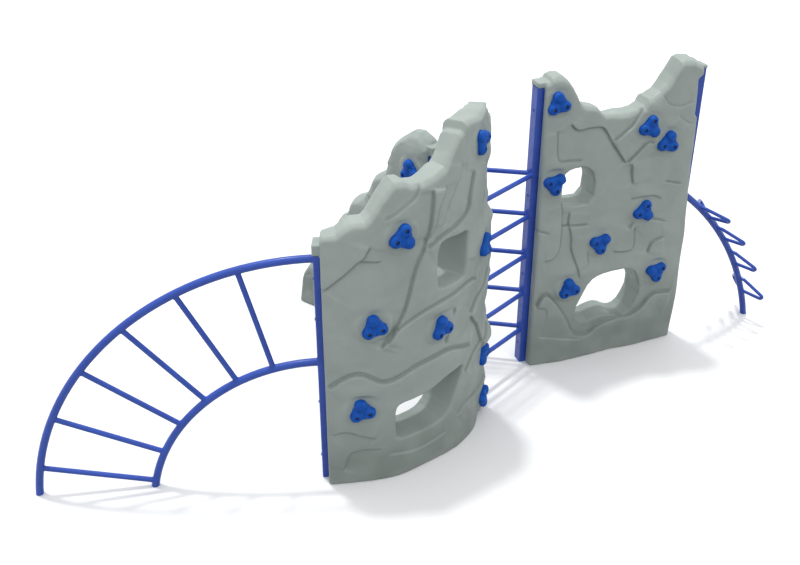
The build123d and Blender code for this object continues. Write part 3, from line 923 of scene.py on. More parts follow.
@dataclass
class Handholds:
    """The moulded handholds on one face of a panel: three lobes round a saddle, with two bolt wells."""

    panel: RockPanel
    side: Side
    ring: float = 48.0
    lobe: float = 37.0
    lobe_angles: tuple[float, ...] = (90.0, 210.0, 330.0)
    height: float = 46.0
    low_share: float = 0.88
    saddle: float = 58.0
    saddle_height: float = 37.0
    scoop_angles: tuple[float, ...] = (30.0, 150.0, 270.0)
    scoop: float = 16.0
    scoop_drop: float = 22.0
    scoop_up: float = 50.0
    scoop_start: float = 4.0
    lobe_round: float = 6.0
    saddle_round: float = 8.0
    scoop_round: float = 10.0
    well_round: float = 3.0
    lump: float = 1.4
    lump_cell: float = 28.0
    bore: float = 10.5
    bore_room: float = 2.5
    seat: float = 24.0
    wells: tuple[float, ...] = (210.0, 330.0)
    reach: float = 96.0
    cell: float = 3.0
    quick_cells: float = 1.4
    grid_height: tuple[float, float] = (-8.0, 60.0)
    uneven: tuple[float, float] = (0.98, 1.05)
    ball_share: float = 0.8
    saddle_span: float = 48.0
    back: float = 3.0
    back_round: float = 2.0
    shapes: int = 3

    def shape(self, number: int) -> tuple[Points, Points]:
        """One handhold lying on its back.

        Args:
            number: which of the slightly different shapes.

        Returns:
            Vertices and quads, in metres from the middle of its back.
        """
        step = self.cell * MM * 1.0
        flat = np.arange(-self.reach * MM, self.reach * MM, step)
        up = np.arange(self.grid_height[0] * MM, self.grid_height[1] * MM, step)
        x, y, z = np.meshgrid(flat, flat, up, indexing="ij")
        body = np.full(x.shape, 1.0)
        rng = np.random.default_rng(40 + number)
        for angle in self.lobe_angles:
            cx, cy = self._spot(angle)
            wide = self.lobe * MM * float(rng.uniform(*self.uneven))
            tall = self.height * MM * (1.0 if angle == self.lobe_angles[0] else self.low_share)
            level = (np.maximum(z, 0.0) / tall) ** 4
            ball = np.sqrt(((x - cx) / wide) ** 2 + ((y - cy) / wide) ** 2 + level) - 1.0
            body = soft_min(body, ball * self.ball_share * wide, self.lobe_round * MM)
        wide, tall = self.saddle * MM, self.saddle_height * MM
        saddle = np.sqrt((x / wide) ** 2 + (y / wide) ** 2 + (np.maximum(z, 0.0) / tall) ** 4) - 1.0
        body = soft_min(body, saddle * self.saddle_span * MM, self.saddle_round * MM)
        for angle in self.scoop_angles:
            turn = math.radians(angle)
            along = x * math.cos(turn) + y * math.sin(turn)
            beside = -x * math.sin(turn) + y * math.cos(turn)
            above = (z - self.scoop_up * MM) / (self.scoop_drop * MM)
            scoop = np.hypot(beside / (self.scoop * MM), above) - 1.0
            cut = np.maximum(scoop * self.scoop * MM, self.scoop_start * MM - along)
            body = soft_max(body, -cut, self.scoop_round * MM)
        body = body + self.lump * MM * soft_noise(x + 0.7 * z, y - 0.6 * z, self.lump_cell * MM, 70 + number)
        body = soft_max(body, -self.back * MM - z, self.back_round * MM)
        for angle in self.wells:
            cx, cy = self._spot(angle)
            well = np.hypot(x - cx, y - cy) - (self.bore + self.bore_room) * MM
            body = soft_max(body, -np.maximum(well, self.seat * MM - z), self.well_round * MM)
        return surface_net(body, (flat, flat, up))

    def _spot(self, angle: float) -> tuple[float, float]:
        """Place on the ring of lobes at an angle in degrees."""
        turn = math.radians(angle)
        return self.ring * MM * math.cos(turn), self.ring * MM * math.sin(turn)

    def build(self, material: bpy.types.Material) -> bpy.types.Object:
        """Make this face's handholds as one piece.

        Args:
            material: the handholds' finish.

        Returns:
            The piece.
        """
        shapes = [self.shape(number) for number in range(self.shapes)]
        points, faces, count = [], [], 0
        chosen = [hold for hold in self.panel.holds if hold.side is self.side]
        for number, hold in enumerate(chosen):
            local, quads = shapes[number % self.shapes]
            out = self.panel.line.outward(hold.s * MM, self.side)
            across = np.cross(UP, out)
            turn = math.radians(hold.turn)
            u = across * math.cos(turn) + UP * math.sin(turn)
            v = -across * math.sin(turn) + UP * math.cos(turn)
            depth = self.side.value * self.panel.pad_depth(hold)
            origin = self.panel.line.place(np.array(hold.s * MM), np.array(depth), np.array(hold.z * MM))
            points.append(origin + local[:, :1] * u + local[:, 1:2] * v + local[:, 2:] * out)
            faces.append(quads + count)
            count += len(local)
        word = self.side.name.lower()
        name = f"{self.panel.name}_{word}_handholds"
        piece = make_piece(name, np.vstack(points), np.vstack(faces))
        return settle(piece, Slot.HOLD, material, f"{self.panel.name}_{word}_holds")


# ---- steelwork


@dataclass(frozen=True)
class Bar:
    """A straight length of round bar that is welded at its end: a point on its axis, its direction and its radius."""

    start: Points
    direction: Points
    radius: float

    def seam(self, target: Callable[[Points], Points], inside: float, outside: float,
             count: int = 96) -> Points:
        """Line round the bar where its skin meets another part.

        Args:
            target: distance outside the other part at each point.
            inside: a distance along the bar that is inside the other part.
            outside: a distance that is outside it.
            count: points round the bar.

        Returns:
            The line's points.
        """
        n = self.direction / np.linalg.norm(self.direction)
        helper = UP if abs(n[2]) < 0.9 else np.array((1.0, 0.0, 0.0))
        u = np.cross(n, helper)
        u /= np.linalg.norm(u)
        v = np.cross(n, u)
        angle = np.linspace(0.0, 2.0 * math.pi, count, endpoint=False)[:, None]
        skin = self.start + self.radius * (np.cos(angle) * u + np.sin(angle) * v)
        low, high = np.full(count, inside), np.full(count, outside)
        for _ in range(40):
            middle = 0.5 * (low + high)
            within = target(skin + middle[:, None] * n) < 0.0
            low, high = np.where(within, middle, low), np.where(within, high, middle)
        return skin + low[:, None] * n


@dataclass
class WeldBeads:
    """Rippled weld beads of one sub-assembly, joined in one piece."""

    name: str
    bead: float = 3.4
    ripple: float = 0.16
    ripples: int = 24
    sides: int = 10
    seams: list[tuple[Points, Points]] = field(default_factory=list)

    def add(self, line: Points, axis: Points) -> None:
        """Lay a bead along a closed line round a bar with that axis."""
        self.seams.append((line, axis / np.linalg.norm(axis)))

    def build(self, material: bpy.types.Material) -> bpy.types.Object:
        """Make the beads.

        Args:
            material: their finish.

        Returns:
            The piece.
        """
        points, faces, count = [], [], 0
        for line, axis in self.seams:
            n = len(line)
            middle = line.mean(0)
            ahead = np.roll(line, -1, axis=0) - np.roll(line, 1, axis=0)
            ahead /= np.linalg.norm(ahead, axis=1)[:, None]
            outward = line - middle
            outward -= (outward @ axis)[:, None] * axis
            outward /= np.linalg.norm(outward, axis=1)[:, None]
            other = np.cross(ahead, outward)
            size = self.bead * MM * (1.0 + self.ripple * np.cos(np.arange(n) * 2.0 * math.pi * self.ripples / n))
            turn = np.arange(self.sides) * 2.0 * math.pi / self.sides
            rings = (line[:, None, :] + size[:, None, None] * (np.cos(turn)[None, :, None] * outward[:, None, :]
                     + np.sin(turn)[None, :, None] * other[:, None, :]))
            i, j = np.meshgrid(np.arange(n), np.arange(self.sides), indexing="ij")
            i2, j2 = (i + 1) % n, (j + 1) % self.sides
            here, there = i * self.sides, i2 * self.sides
            quad = np.stack([here + j, there + j, there + j2, here + j2], -1)
            points.append(rings.reshape(-1, 3))
            faces.append(quad.reshape(-1, 4)[:, ::-1] + count)
            count += n * self.sides
        piece = make_piece(self.name, np.vstack(points), np.vstack(faces))
        return settle(piece, Slot.FRAME, material)


def post_skin(centre: Points, heading: float) -> Callable[[Points], Points]:
    """Distance outside a square post.

    Args:
        centre: a point on the post's axis.
        heading: the way that one of its faces looks.

    Returns:
        A function from points to distances.
    """
    along, across = heading_vector(heading), heading_vector(heading + QUARTER)
    half, corner = 0.5 * POST * MM, POST_CORNER * MM

    def distance(points: Points) -> Points:
        """Distance outside the post.

        Args:
            points: rows of three numbers.

        Returns:
            One distance to a point, negative inside.
        """
        a = np.abs((points - centre) @ along) - half + corner
        b = np.abs((points - centre) @ across) - half + corner
        return np.hypot(np.maximum(a, 0.0), np.maximum(b, 0.0)) + np.minimum(np.maximum(a, b), 0.0) - corner

    return distance


def rail_skin(centre: Points, across: Points, radius: float, tube: float) -> Callable[[Points], Points]:
    """Distance outside a bent pipe that follows a circle.

    Args:
        centre: the circle's centre.
        across: its level radius direction; the circle stands upright through it.
        radius: the circle's radius.
        tube: the pipe's radius.

    Returns:
        A function from points to distances.
    """
    normal = np.cross(across, UP)

    def distance(points: Points) -> Points:
        """Distance outside the pipe.

        Args:
            points: rows of three numbers.

        Returns:
            One distance to a point, negative inside.
        """
        local = points - centre
        ring = np.hypot(local @ across, local[..., 2]) - radius
        return np.hypot(ring, local @ normal) - tube

    return distance


@dataclass
class Hub:
    """The triangle of posts with ladder rungs on two of its sides."""

    first_rung: float = 277.0
    pitch: float = 305.0
    rungs: int = 5
    post_headings: tuple[float, ...] = (0.0, 240.0, 120.0)

    def corners(self) -> list[Points]:
        """Find the hub posts.

        Returns:
            Centres of the right, front and back posts on the ground.
        """
        reach = HUB_SIDE / math.sqrt(3.0) * MM
        hub = np.array((-reach, 0.0, 0.0))
        return [hub + reach * heading_vector(h) for h in self.post_headings]

    def build(self, material: bpy.types.Material) -> bpy.types.Object:
        """Weld each rung to its two posts.

        Args:
            material: the beads' finish.

        Returns:
            The beads.
        """
        beads = WeldBeads("hub_rung_welds")
        right, front, back = self.corners()
        for corner, heading in ((front, self.post_headings[1]), (back, self.post_headings[2])):
            run = corner - right
            length = float(np.linalg.norm(run))
            for k in range(self.rungs):
                lift = UP * (self.first_rung + k * self.pitch) * MM
                near = Bar(right + lift, run / length, RUNG_RADIUS * MM)
                beads.add(near.seam(post_skin(right, 0.0), 0.0, POST_SEARCH * MM), run)
                far = Bar(corner + lift, -run / length, RUNG_RADIUS * MM)
                beads.add(far.seam(post_skin(corner, heading), 0.0, POST_SEARCH * MM), run)
        return beads.build(material)


@dataclass
class ArchLadder:
    """Two bent rails in one upright plane, with rungs between them."""

    post: tuple[float, float]
    heading: float = 167.0
    outer: float = 1753.0
    gap: float = 699.0
    drop: float = 204.0
    out: float = 57.0
    rungs: int = 6
    first: float = 13.3
    step: float = 12.6

    def build(self, material: bpy.types.Material) -> bpy.types.Object:
        """Weld the rungs to the rails, and the rails to their post.

        Args:
            material: the beads' finish.

        Returns:
            The beads.
        """
        beads = WeldBeads("ladder_welds")
        along = heading_vector(self.heading)
        post = np.array((self.post[0], self.post[1], 0.0)) * MM
        centre = post + along * self.out * MM - UP * self.drop * MM
        inner = self.outer - self.gap
        for k in range(self.rungs):
            angle = math.radians(self.first + k * self.step)
            ray = along * math.cos(angle) + UP * math.sin(angle)
            low = Bar(centre + ray * inner * MM, ray, RUNG_RADIUS * MM)
            rail = rail_skin(centre, along, inner * MM, RAIL_RADIUS * MM)
            beads.add(low.seam(rail, 0.0, RAIL_SEARCH * MM), ray)
            high = Bar(centre + ray * self.outer * MM, -ray, RUNG_RADIUS * MM)
            rail = rail_skin(centre, along, self.outer * MM, RAIL_RADIUS * MM)
            beads.add(high.seam(rail, 0.0, RAIL_SEARCH * MM), ray)
        for radius in (self.outer, inner):
            end = Bar(post + UP * (radius - self.drop) * MM, along, RAIL_RADIUS * MM)
            beads.add(end.seam(post_skin(post, self.heading), 0.0, POST_SEARCH * MM), along)
        return beads.build(material)


@dataclass
class LoopPole:
    """A bent pole with pairs of looped steps."""

    post_x: float = 1180.0
    reach: float = 777.0
    radius: float = 2050.0
    drop: float = 456.0
    heights: tuple[float, ...] = (980.0, 780.0, 545.0, 285.0)
    base_up: float = 72.0
    base_down: float = 66.0
    side: float = 192.0
    out: float = 66.0
    forward: float = 66.0
    shoulder_share: float = 0.30
    shoulder_rise: float = 4.0
    heel_forward: float = 36.0
    heel_in: float = 34.0
    end_search: float = 40.0

    def build(self, material: bpy.types.Material) -> bpy.types.Object:
        """Weld the loops to the pole, and the pole to its post.

        Args:
            material: the beads' finish.

        Returns:
            The beads.
        """
        beads = WeldBeads("loop_pole_welds", bead=3.0)
        centre_x = self.post_x + self.reach - math.sqrt(self.radius ** 2 - self.drop ** 2)
        centre = np.array((centre_x, 0.0, -self.drop)) * MM
        skin = rail_skin(centre, np.array((1.0, 0.0, 0.0)), self.radius * MM, RAIL_RADIUS * MM)
        for height in self.heights:
            angle = math.asin((self.drop + height) / self.radius)
            outward = np.array((math.cos(angle), 0.0, math.sin(angle)))
            forward = np.array((math.sin(angle), 0.0, -math.cos(angle)))
            middle = centre + outward * self.radius * MM
            for side in (-1.0, 1.0):
                tip = middle + np.array((0.0, side * self.side * MM, 0.0)) + outward * self.out * MM
                tip = tip + forward * self.forward * MM
                across = (tip - middle) / np.linalg.norm(tip - middle)
                upper, lower = middle - forward * self.base_up * MM, middle + forward * self.base_down * MM
                shoulder = upper + across * self.shoulder_share * self.side * MM - forward * self.shoulder_rise * MM
                heel = tip + forward * self.heel_forward * MM - across * self.heel_in * MM
                for start, end in ((upper, shoulder), (lower, heel)):
                    rod = (end - start) / np.linalg.norm(end - start)
                    beads.add(Bar(start, rod, ROD_RADIUS * MM).seam(skin, 0.0, RAIL_SEARCH * MM), rod)
        face = (self.post_x + 0.5 * POST) - centre_x
        angle = math.acos(face / self.radius)
        meet = centre + self.radius * MM * np.array((math.cos(angle), 0.0, math.sin(angle)))
        run = np.array((math.sin(angle), 0.0, -math.cos(angle)))
        post = np.array((self.post_x * MM, 0.0, 0.0))
        end = Bar(meet, run, RAIL_RADIUS * MM)
        beads.add(end.seam(post_skin(post, 0.0), -self.end_search * MM, RAIL_SEARCH * MM), run)
        return beads.build(material)


@dataclass
class PackedParts:
    """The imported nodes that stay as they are, each with its finish."""

    bolts: tuple[str, ...] = ("_hold_bolts",)
    inserts: tuple[str, ...] = ("_inserts",)

    def finish_for(self, node: str) -> Finish:
        """Which finish a node has.

        Args:
            node: its name.

        Returns:
            The finish.
        """
        if any(word in node for word in self.bolts):
            return DARK_STEEL
        if any(word in node for word in self.inserts):
            return THREAD_BRASS
        return BLUE_POWDER_COAT

    def dress(self, nodes: dict[str, bpy.types.Object], made: dict[str, bpy.types.Material]) -> None:
        """Give every shown node its material.

        Args:
            nodes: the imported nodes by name.
            made: materials by the name of their finish.
        """
        for name, node in nodes.items():
            if node.hide_render:
                continue
            finish = self.finish_for(name)
            node.data.materials.clear()
            node.data.materials.append(made[finish.name])
            LOG.info("%s dressed in %s", name, finish.name)


# ---- the yard


@dataclass
class Yard:
    """The pale floor, the sky, the sun and the camera."""

    camera_place: tuple[float, float, float] = (-2.97897, -5.70756, 4.26535)
    camera_turn: tuple[float, float, float] = (60.417, 0.0, -19.4)
    lens: float = 45.925
    sensor: float = 36.0
    sun_run: tuple[float, float, float] = (0.07, -0.25, -1.0)
    sun_power: float = 1.32
    sky_power: float = 1.03
    ground_power: float = 0.27
    sun_angle: float = 4.5
    floor_size: float = 60.0
    floor_cells: int = 40
    floor_drop: float = 0.0005
    horizon: float = 0.15

    def build(self, material: bpy.types.Material) -> None:
        """Make the floor, lights and camera.

        Args:
            material: the floor's finish.
        """
        self._lay_floor(material)
        self._light_sky()
        self._hang_sun()
        self._stand_camera()
        bpy.context.scene.view_settings.view_transform = "Standard"

    def _lay_floor(self, material: bpy.types.Material) -> None:
        """Lay the pale floor just under the part's feet.

        Args:
            material: the floor's finish.
        """
        n = self.floor_cells
        marks = np.linspace(-0.5 * self.floor_size, 0.5 * self.floor_size, n + 1)
        x, y = np.meshgrid(marks, marks, indexing="ij")
        points = np.stack([x, y, np.full_like(x, -self.floor_drop)], -1).reshape(-1, 3)
        i, j = np.meshgrid(np.arange(n), np.arange(n), indexing="ij")
        corner = i * (n + 1) + j
        floor = make_piece("yard_floor", points,
                           np.stack([corner, corner + n + 1, corner + n + 2, corner + 1], -1).reshape(-1, 4))
        floor.data.materials.append(material)
        floor.visible_diffuse = False

    def _light_sky(self) -> None:
        """Light the yard from a white sky that is dimmer below the horizon."""
        world = bpy.data.worlds.new("soft_sky")
        world.use_nodes = True
        nodes, links = world.node_tree.nodes, world.node_tree.links
        nodes["Background"].inputs["Color"].default_value = (1.0, 1.0, 1.0, 1.0)
        direction = nodes.new("ShaderNodeTexCoord")
        split = nodes.new("ShaderNodeSeparateXYZ")
        links.new(direction.outputs["Generated"], split.inputs["Vector"])
        power = nodes.new("ShaderNodeMapRange")
        for key, number in (("From Min", -self.horizon), ("From Max", self.horizon), ("To Min", self.ground_power),
                            ("To Max", self.sky_power)):
            power.inputs[key].default_value = number
        links.new(split.outputs["Z"], power.inputs["Value"])
        links.new(power.outputs["Result"], nodes["Background"].inputs["Strength"])
        bpy.context.scene.world = world

    def _hang_sun(self) -> None:
        """Hang the sun, soft at its edge."""
        data = bpy.data.lights.new("sun", "SUN")
        data.energy = self.sun_power
        data.angle = math.radians(self.sun_angle)
        sun = bpy.data.objects.new("sun", data)
        sun.rotation_euler = Vector(self.sun_run).to_track_quat("-Z", "Y").to_euler()
        bpy.context.scene.collection.objects.link(sun)

    def _stand_camera(self) -> None:
        """Stand the camera in its place."""
        data = bpy.data.cameras.new("camera")
        data.lens = self.lens
        data.sensor_width = self.sensor
        data.sensor_fit = "HORIZONTAL"
        camera = bpy.data.objects.new("camera", data)
        camera.location = self.camera_place
        camera.rotation_euler = tuple(math.radians(a) for a in self.camera_turn)
        bpy.context.scene.collection.objects.link(camera)
        bpy.context.scene.camera = camera


# ---- this wall's own panels


def front(*places: tuple[float, float, float]) -> tuple[Hold, ...]:
    """Handholds on a front face, each as place, height and turn."""
    return tuple(Hold(*place) for place in places)


def back(*places: tuple[float, float, float]) -> tuple[Hold, ...]:
    """Handholds on a back face, each as place, height and turn."""
    return tuple(Hold(*place, Side.BACK) for place in places)


def straight_panel(corner: Points) -> RockPanel:
    """The tall straight panel with two windows.

    Args:
        corner: centre of its hub post.

    Returns:
        The panel.
    """
    return RockPanel(
        name="straight_wall",
        line=WallLine((corner[0] / MM, corner[1] / MM), 0.0, -1, 1180.0),
        crest=((-60, 2140), (0, 2142), (30, 2150), (44, 2172), (78, 2182), (121, 2178), (160, 2145), (200, 2096),
               (236, 2038), (262, 1987), (295, 1958), (395, 1931), (430, 1890), (460, 1866), (554, 1866),
               (639, 1862), (707, 1876), (755, 1902), (782, 1946), (806, 1950), (834, 1966), (871, 1984),
               (918, 2034), (957, 2087), (981, 2134), (1005, 2180), (1034, 2191), (1106, 2183), (1133, 2163),
               (1180, 2148), (1240, 2135)),
        rough_crest=((0, 2130), (40, 2166), (115, 2170), (160, 2135), (215, 2064), (270, 1960), (385, 1922),
                     (455, 1858), (640, 1855), (770, 1898), (850, 1962), (945, 2075), (1005, 2176), (1100, 2178),
                     (1180, 2142)),
        windows=(
            ((160, 1290), (164, 1500), (215, 1540), (325, 1542), (408, 1470), (400, 1262), (235, 1262)),
            ((345, 420), (385, 520), (440, 630), (525, 672), (640, 680), (740, 685), (822, 645), (880, 480),
             (820, 335), (760, 283), (700, 290), (630, 330), (560, 330), (430, 292), (365, 340)),
        ),
        posts=(PostSlot(0.0, 1, TALL_POST, 2150.0), PostSlot(1180.0, -1, TALL_POST, 2140.0)),
        end_line=((0, 22), (850, 18), (1000, 8), (1300, -6), (1780, -12), (1812, -32), (2055, -36), (2088, 4),
                  (2200, 4)),
        holds=front((84, 2010, 10), (90, 1455, -50), (795, 1765, 225), (945, 1640, -10), (815, 1140, 225),
                    (487, 940, -50), (272, 612, 10), (984, 626, 70))
        + back((150, 1120, 30), (330, 1700, 200), (560, 1180, 95), (700, 1560, 0), (960, 900, 140),
               (1040, 1930, 250)),
        front_cracks=(
            Crack(((86, 1830), (92, 1760), (100, 1640), (117, 1606), (200, 1600), (307, 1586)), -9),
            Crack(((185, 1870), (200, 1843), (248, 1800), (321, 1812), (418, 1807), (458, 1788), (515, 1688),
                   (575, 1600), (636, 1518)), 10, 11),
            Crack(((636, 1518), (679, 1549), (749, 1613), (789, 1659), (837, 1653), (893, 1594)), -11, 11),
            Crack(((515, 1688), (615, 1747), (679, 1788), (748, 1900)), -12, 10),
            Crack(((674, 1528), (694, 1436), (714, 1342)), 8),
            Crack(((954, 1346), (1040, 1322), (1116, 1299)), -7),
            Crack(((161, 1115), (280, 1104), (397, 1092)), -8, 10),
            Crack(((-22, 1114), (40, 1092), (96, 1071)), -6),
            Crack(((152, 1306), (178, 1200), (178, 1096), (177, 940), (128, 869), (51, 867)), -9, 10),
            Crack(((236, 1225), (225, 1140), (264, 1010), (264, 925), (327, 770), (353, 667)), 6, 7),
            Crack(((404, 1020), (400, 900), (416, 753)), -6, 7),
            Crack(((720, 1000), (737, 1044), (800, 1066), (880, 1069), (1027, 1021)), -9, 10),
            Crack(((759, 1030), (781, 836), (700, 826), (600, 850)), -8, 10),
            Crack(((896, 775), (905, 830), (930, 880), (1020, 901)), -9, 10),
            Crack(((26, 480), (51, 558), (85, 585), (113, 580), (174, 518), (268, 364), (322, 232), (393, 182),
                   (475, 191), (527, 250), (691, 287), (803, 273), (898, 333), (955, 418), (1020, 440),
                   (1150, 420)), -20, 10, 9, 120),
            Crack(((50, 240), (180, 215), (411, 160)), -5, 5),
            Crack(((1000, 1830), (1080, 1760), (1150, 1740)), -6, 6),
            Crack(((880, 1975), (930, 1900), (1010, 1880), (1120, 1905)), -7, 6),
            Crack(((700, 1240), (860, 1262), (960, 1210)), 5, 5),
        ),
        back_cracks=(
            Crack(((60, 1700), (220, 1620), (380, 1640), (520, 1560), (760, 1590), (900, 1500), (1140, 1530)), -14, 11),
            Crack(((520, 1560), (560, 1360), (500, 1190), (620, 1020)), 10, 10),
            Crack(((900, 1500), (860, 1300), (930, 1120), (900, 980)), -10, 10),
            Crack(((40, 1180), (180, 1010), (360, 1040), (500, 960), (620, 1020), (800, 930), (1150, 1010)), -12, 11),
            Crack(((180, 1010), (150, 760), (230, 560), (190, 380)), 9, 9),
            Crack(((1000, 960), (1060, 700), (980, 520), (1040, 300)), -10, 10),
            Crack(((60, 520), (220, 380), (420, 240), (620, 210), (820, 260), (1000, 380), (1150, 360)),
                  -18, 11, 9, 120),
            Crack(((260, 1900), (420, 1780), (640, 1760), (820, 1840)), -9, 9),
            Crack(((60, 2010), (180, 1900), (240, 1760)), 8, 8),
        ),
        foot=((0, -13), (130, 5), (260, 20), (370, 10), (500, 4), (680, -11), (890, -5), (1018, -22), (1180, -28)),
        seed=3,
    )


def curved_panel(corner: Points) -> RockPanel:
    """The curved panel that sweeps down to the arch ladder.

    Args:
        corner: centre of its hub post.

    Returns:
        The panel.
    """
    length = CURVE_RADIUS * math.radians(77.5)
    return RockPanel(
        name="curved_wall",
        line=WallLine((corner[0] / MM, corner[1] / MM), 240.0, 1, length, CURVE_RADIUS),
        crest=((-60, 2148), (70, 2146), (92, 2202), (386, 2202), (402, 2152), (436, 2144),
               (455, 2118), (505, 2050), (555, 1994), (585, 1986), (640, 1962), (718, 1944),
               (788, 1950), (832, 1978), (882, 1982), (913, 1950), (951, 1902), (1021, 1800), (1052, 1774),
               (1120, 1775), (1159, 1754), (1205, 1714), (1288, 1698), (1350, 1690)),
        rough_crest=((0, 2176), (60, 2192), (170, 2196), (320, 2204), (365, 2166), (430, 2150), (500, 2060),
                     (575, 1990), (700, 1948), (840, 1975), (900, 1972), (975, 1862), (1045, 1772), (1170, 1740),
                     (length, 1692)),
        windows=(
            ((398, 1250), (394, 1400), (392, 1525), (412, 1553), (520, 1562), (610, 1562), (637, 1520), (640, 1400),
             (636, 1285), (610, 1250), (500, 1236), (415, 1232)),
            ((905, 330), (906, 420), (905, 505), (880, 540), (780, 548), (670, 556), (555, 600), (440, 606),
             (405, 592), (418, 540), (485, 420), (530, 335), (600, 288), (700, 280), (800, 280), (880, 284),
             (902, 305)),
        ),
        posts=(PostSlot(0.0, 1, TALL_POST, 2180.0), PostSlot(length, -1, SHORT_POST, 1657.0)),
        holds=front((863, 1673, 225), (1024, 1131, 10), (609, 985, 10), (1100, 555, 10), (235, 2050, 40),
                    (170, 1330, 100), (115, 495, 10), (96, 125, 70))
        + back((200, 1745, 60), (330, 820, 180), (700, 1230, 300), (880, 800, 20), (1060, 1400, 110)),
        front_cracks=(
            Crack(((1285, 1380), (1271, 1397), (1167, 1487), (1110, 1545), (1062, 1582), (1030, 1650)), -10, 9),
            Crack(((1110, 1555), (1060, 1552), (1000, 1539), (970, 1546)), -7, 8),
            Crack(((1290, 720), (1265, 725), (1182, 798), (1101, 815), (1035, 766), (978, 722), (902, 729),
                   (809, 769), (709, 786), (598, 792), (513, 785), (392, 723), (300, 690)), 13, 11, 9, 110),
            Crack(((988, 954), (919, 1075), (748, 1143), (608, 1168), (484, 1166), (340, 1180), (240, 1140)), 11, 11),
            Crack(((655, 1905), (661, 1842), (684, 1662), (721, 1547), (765, 1484), (801, 1377), (842, 1189),
                   (902, 1070), (960, 985)), -12, 11),
            Crack(((569, 1900), (569, 1872), (625, 1799), (640, 1740), (650, 1682), (700, 1590)), 10, 10),
            Crack(((300, 1900), (340, 1820), (368, 1762), (383, 1672), (485, 1618), (619, 1588), (721, 1547)), -13, 11),
            Crack(((430, 1990), (470, 1880), (560, 1760), (600, 1640)), 9, 9),
            Crack(((1215, 100), (1197, 133), (1180, 200), (1166, 248), (1081, 256), (990, 240)), -8, 8),
            Crack(((1265, 380), (1247, 388), (1191, 406), (1100, 360), (1022, 327)), -9, 9),
            Crack(((480, 1072), (500, 1030), (521, 986), (558, 823)), -8, 8),
            Crack(((334, 920), (290, 860), (223, 778), (170, 629), (190, 540)), -12, 10),
            Crack(((150, 1900), (200, 1720), (160, 1560), (230, 1420), (300, 1290)), 12, 10),
            Crack(((60, 1680), (130, 1600), (160, 1560)), -10, 9),
            Crack(((40, 1120), (130, 1010), (240, 1000), (334, 920)), -12, 10),
            Crack(((50, 720), (170, 629), (300, 600), (400, 520)), -10, 9),
            Crack(((60, 300), (200, 260), (380, 290), (470, 230)), -10, 9),
            Crack(((560, 180), (760, 150), (960, 190)), -6, 6),
            Crack(((730, 1960), (760, 1880), (840, 1850), (960, 1780)), -7, 7),
        ),
        back_cracks=(
            Crack(((40, 1750), (220, 1660), (420, 1700), (640, 1620), (860, 1650), (1080, 1560)), -14, 11),
            Crack(((640, 1620), (680, 1400), (600, 1200), (720, 1010)), 10, 10),
            Crack(((40, 1220), (240, 1080), (460, 1120), (720, 1010), (960, 1060), (1260, 980)), -13, 11),
            Crack(((240, 1080), (200, 820), (300, 600), (260, 380)), 9, 9),
            Crack(((1000, 1050), (1060, 760), (1000, 560), (1080, 300)), -10, 10),
            Crack(((60, 420), (260, 320), (440, 200), (700, 190), (940, 250), (1260, 330)), -16, 11, 9, 120),
        ),
        foot=((0, 10), (120, -12), (300, 8), (480, 14), (700, -4), (900, 6), (1100, -6), (1292, 4)),
        seed=11,
        edge_lumps=20.0,
    )


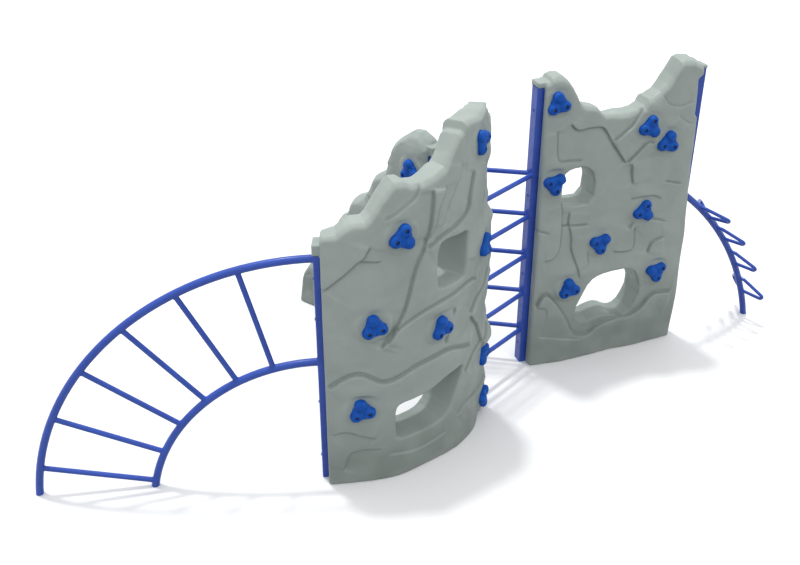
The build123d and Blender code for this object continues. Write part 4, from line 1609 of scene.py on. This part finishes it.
def stepped_panel(corner: Points) -> RockPanel:
    """The low panel whose crest steps down like stacked boulders.

    Args:
        corner: centre of its hub post.

    Returns:
        The panel.
    """
    return RockPanel(
        name="stepped_wall",
        line=WallLine((corner[0] / MM, corner[1] / MM), 120.0, 1, 1265.0),
        crest=((-60, 1640), (-12, 1655), (41, 1695), (94, 1722), (157, 1716), (250, 1645), (312, 1596),
               (360, 1490), (375, 1400), (388, 1358), (455, 1325), (504, 1288), (555, 1196), (595, 1124),
               (638, 1092), (700, 1064), (735, 1030), (752, 978), (776, 925), (818, 884), (860, 858),
               (878, 790), (940, 690), (1035, 620), (1080, 560), (1100, 420), (1140, 370), (1205, 350),
               (1245, 290), (1265, 215), (1320, 150)),
        rough_crest=((0, 1668), (60, 1715), (170, 1722), (290, 1645), (370, 1590), (412, 1400), (500, 1332),
                     (560, 1290), (640, 1130), (760, 1045), (800, 920), (900, 880), (925, 700), (1060, 610),
                     (1110, 400), (1215, 350), (1265, 205)),
        windows=(),
        posts=(PostSlot(0.0, 1, SHORT_POST, 1655.0),),
        holds=front((112, 1462, 10), (330, 900, 200), (700, 560, 60))
        + back((250, 1240, 120), (520, 760, 0), (820, 350, 240)),
        front_cracks=(
            Crack(((418, 1430), (380, 1330), (250, 1290), (60, 1330)), 16, 13, 9, 110),
            Crack(((250, 1290), (280, 1120), (230, 1000)), -10, 11),
            Crack(((615, 1200), (560, 1120), (430, 1070), (230, 1000), (60, 1040)), 15, 13, 9, 110),
            Crack(((800, 960), (720, 860), (560, 800), (430, 1070)), 14, 13, 9, 100),
            Crack(((560, 800), (420, 700), (250, 720), (60, 640)), 12, 12),
            Crack(((925, 760), (860, 640), (720, 430), (420, 700)), -12, 12),
            Crack(((1095, 450), (1000, 380), (860, 330), (720, 430)), 14, 13),
            Crack(((720, 430), (560, 330), (300, 380), (60, 280)), -14, 12),
            Crack(((860, 330), (900, 120), (880, 20)), -10, 11),
        ),
        back_cracks=(
            Crack(((418, 1430), (360, 1300), (200, 1250), (60, 1290)), 15, 13, 9, 110),
            Crack(((615, 1200), (520, 1080), (330, 1020), (60, 1080)), 15, 13, 9, 110),
            Crack(((800, 960), (700, 820), (520, 760), (330, 1020)), -13, 13),
            Crack(((925, 760), (880, 600), (700, 480), (480, 520), (60, 460)), 13, 12),
            Crack(((1095, 450), (980, 340), (700, 480)), 12, 12),
            Crack(((480, 520), (420, 260), (460, 40)), -11, 11),
        ),
        foot=((0, 0), (600, 6), (1000, 14), (1150, 24), (1265, 24)),
        seed=23,
        facet=13.0,
        facet_cell=220.0,
        crest_round=14.0,
        crest_bevel=30.0,
        set_back=16.0,
        boulders=(Boulder(150, 1560, 210, 26, 20), Boulder(420, 1230, 190, 24, 75), Boulder(630, 980, 150, 22, 10),
                  Boulder(190, 1120, 200, 22, 50), Boulder(820, 690, 190, 24, 35), Boulder(420, 800, 210, 20, 5),
                  Boulder(150, 620, 210, 22, 65), Boulder(1000, 400, 150, 24, 15), Boulder(620, 420, 220, 22, 40),
                  Boulder(250, 180, 220, 20, 25), Boulder(1150, 180, 110, 18, 60)),
    )


def main() -> None:
    """Build the climbing wall's pieces in order and report each one."""
    logging.basicConfig(level=logging.INFO, format="%(name)s %(message)s")
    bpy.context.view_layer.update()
    finishes = (MOULDED_ROCK, BLUE_POWDER_COAT, BLUE_HOLD_RESIN, DARK_STEEL, THREAD_BRASS, PALE_GROUND)
    made = {finish.name: finish.build() for finish in finishes}
    Yard().build(made[PALE_GROUND.name])
    hub = Hub()
    right_corner, front_corner, back_corner = hub.corners()
    panels = (straight_panel(right_corner), curved_panel(front_corner), stepped_panel(back_corner))
    for panel in panels:
        panel.build(made[MOULDED_ROCK.name])
        for side in Side:
            Handholds(panel, side).build(made[BLUE_HOLD_RESIN.name])
    hub.build(made[BLUE_POWDER_COAT.name])
    curved = panels[1].line
    end = curved.place(np.array(curved.length * MM), np.array(0.0), np.array(0.0)) / MM
    ArchLadder((float(end[0]), float(end[1]))).build(made[BLUE_POWDER_COAT.name])
    LoopPole().build(made[BLUE_POWDER_COAT.name])
    PackedParts().dress(frame["nodes"], made)


if __name__ == "__main__":
    main()
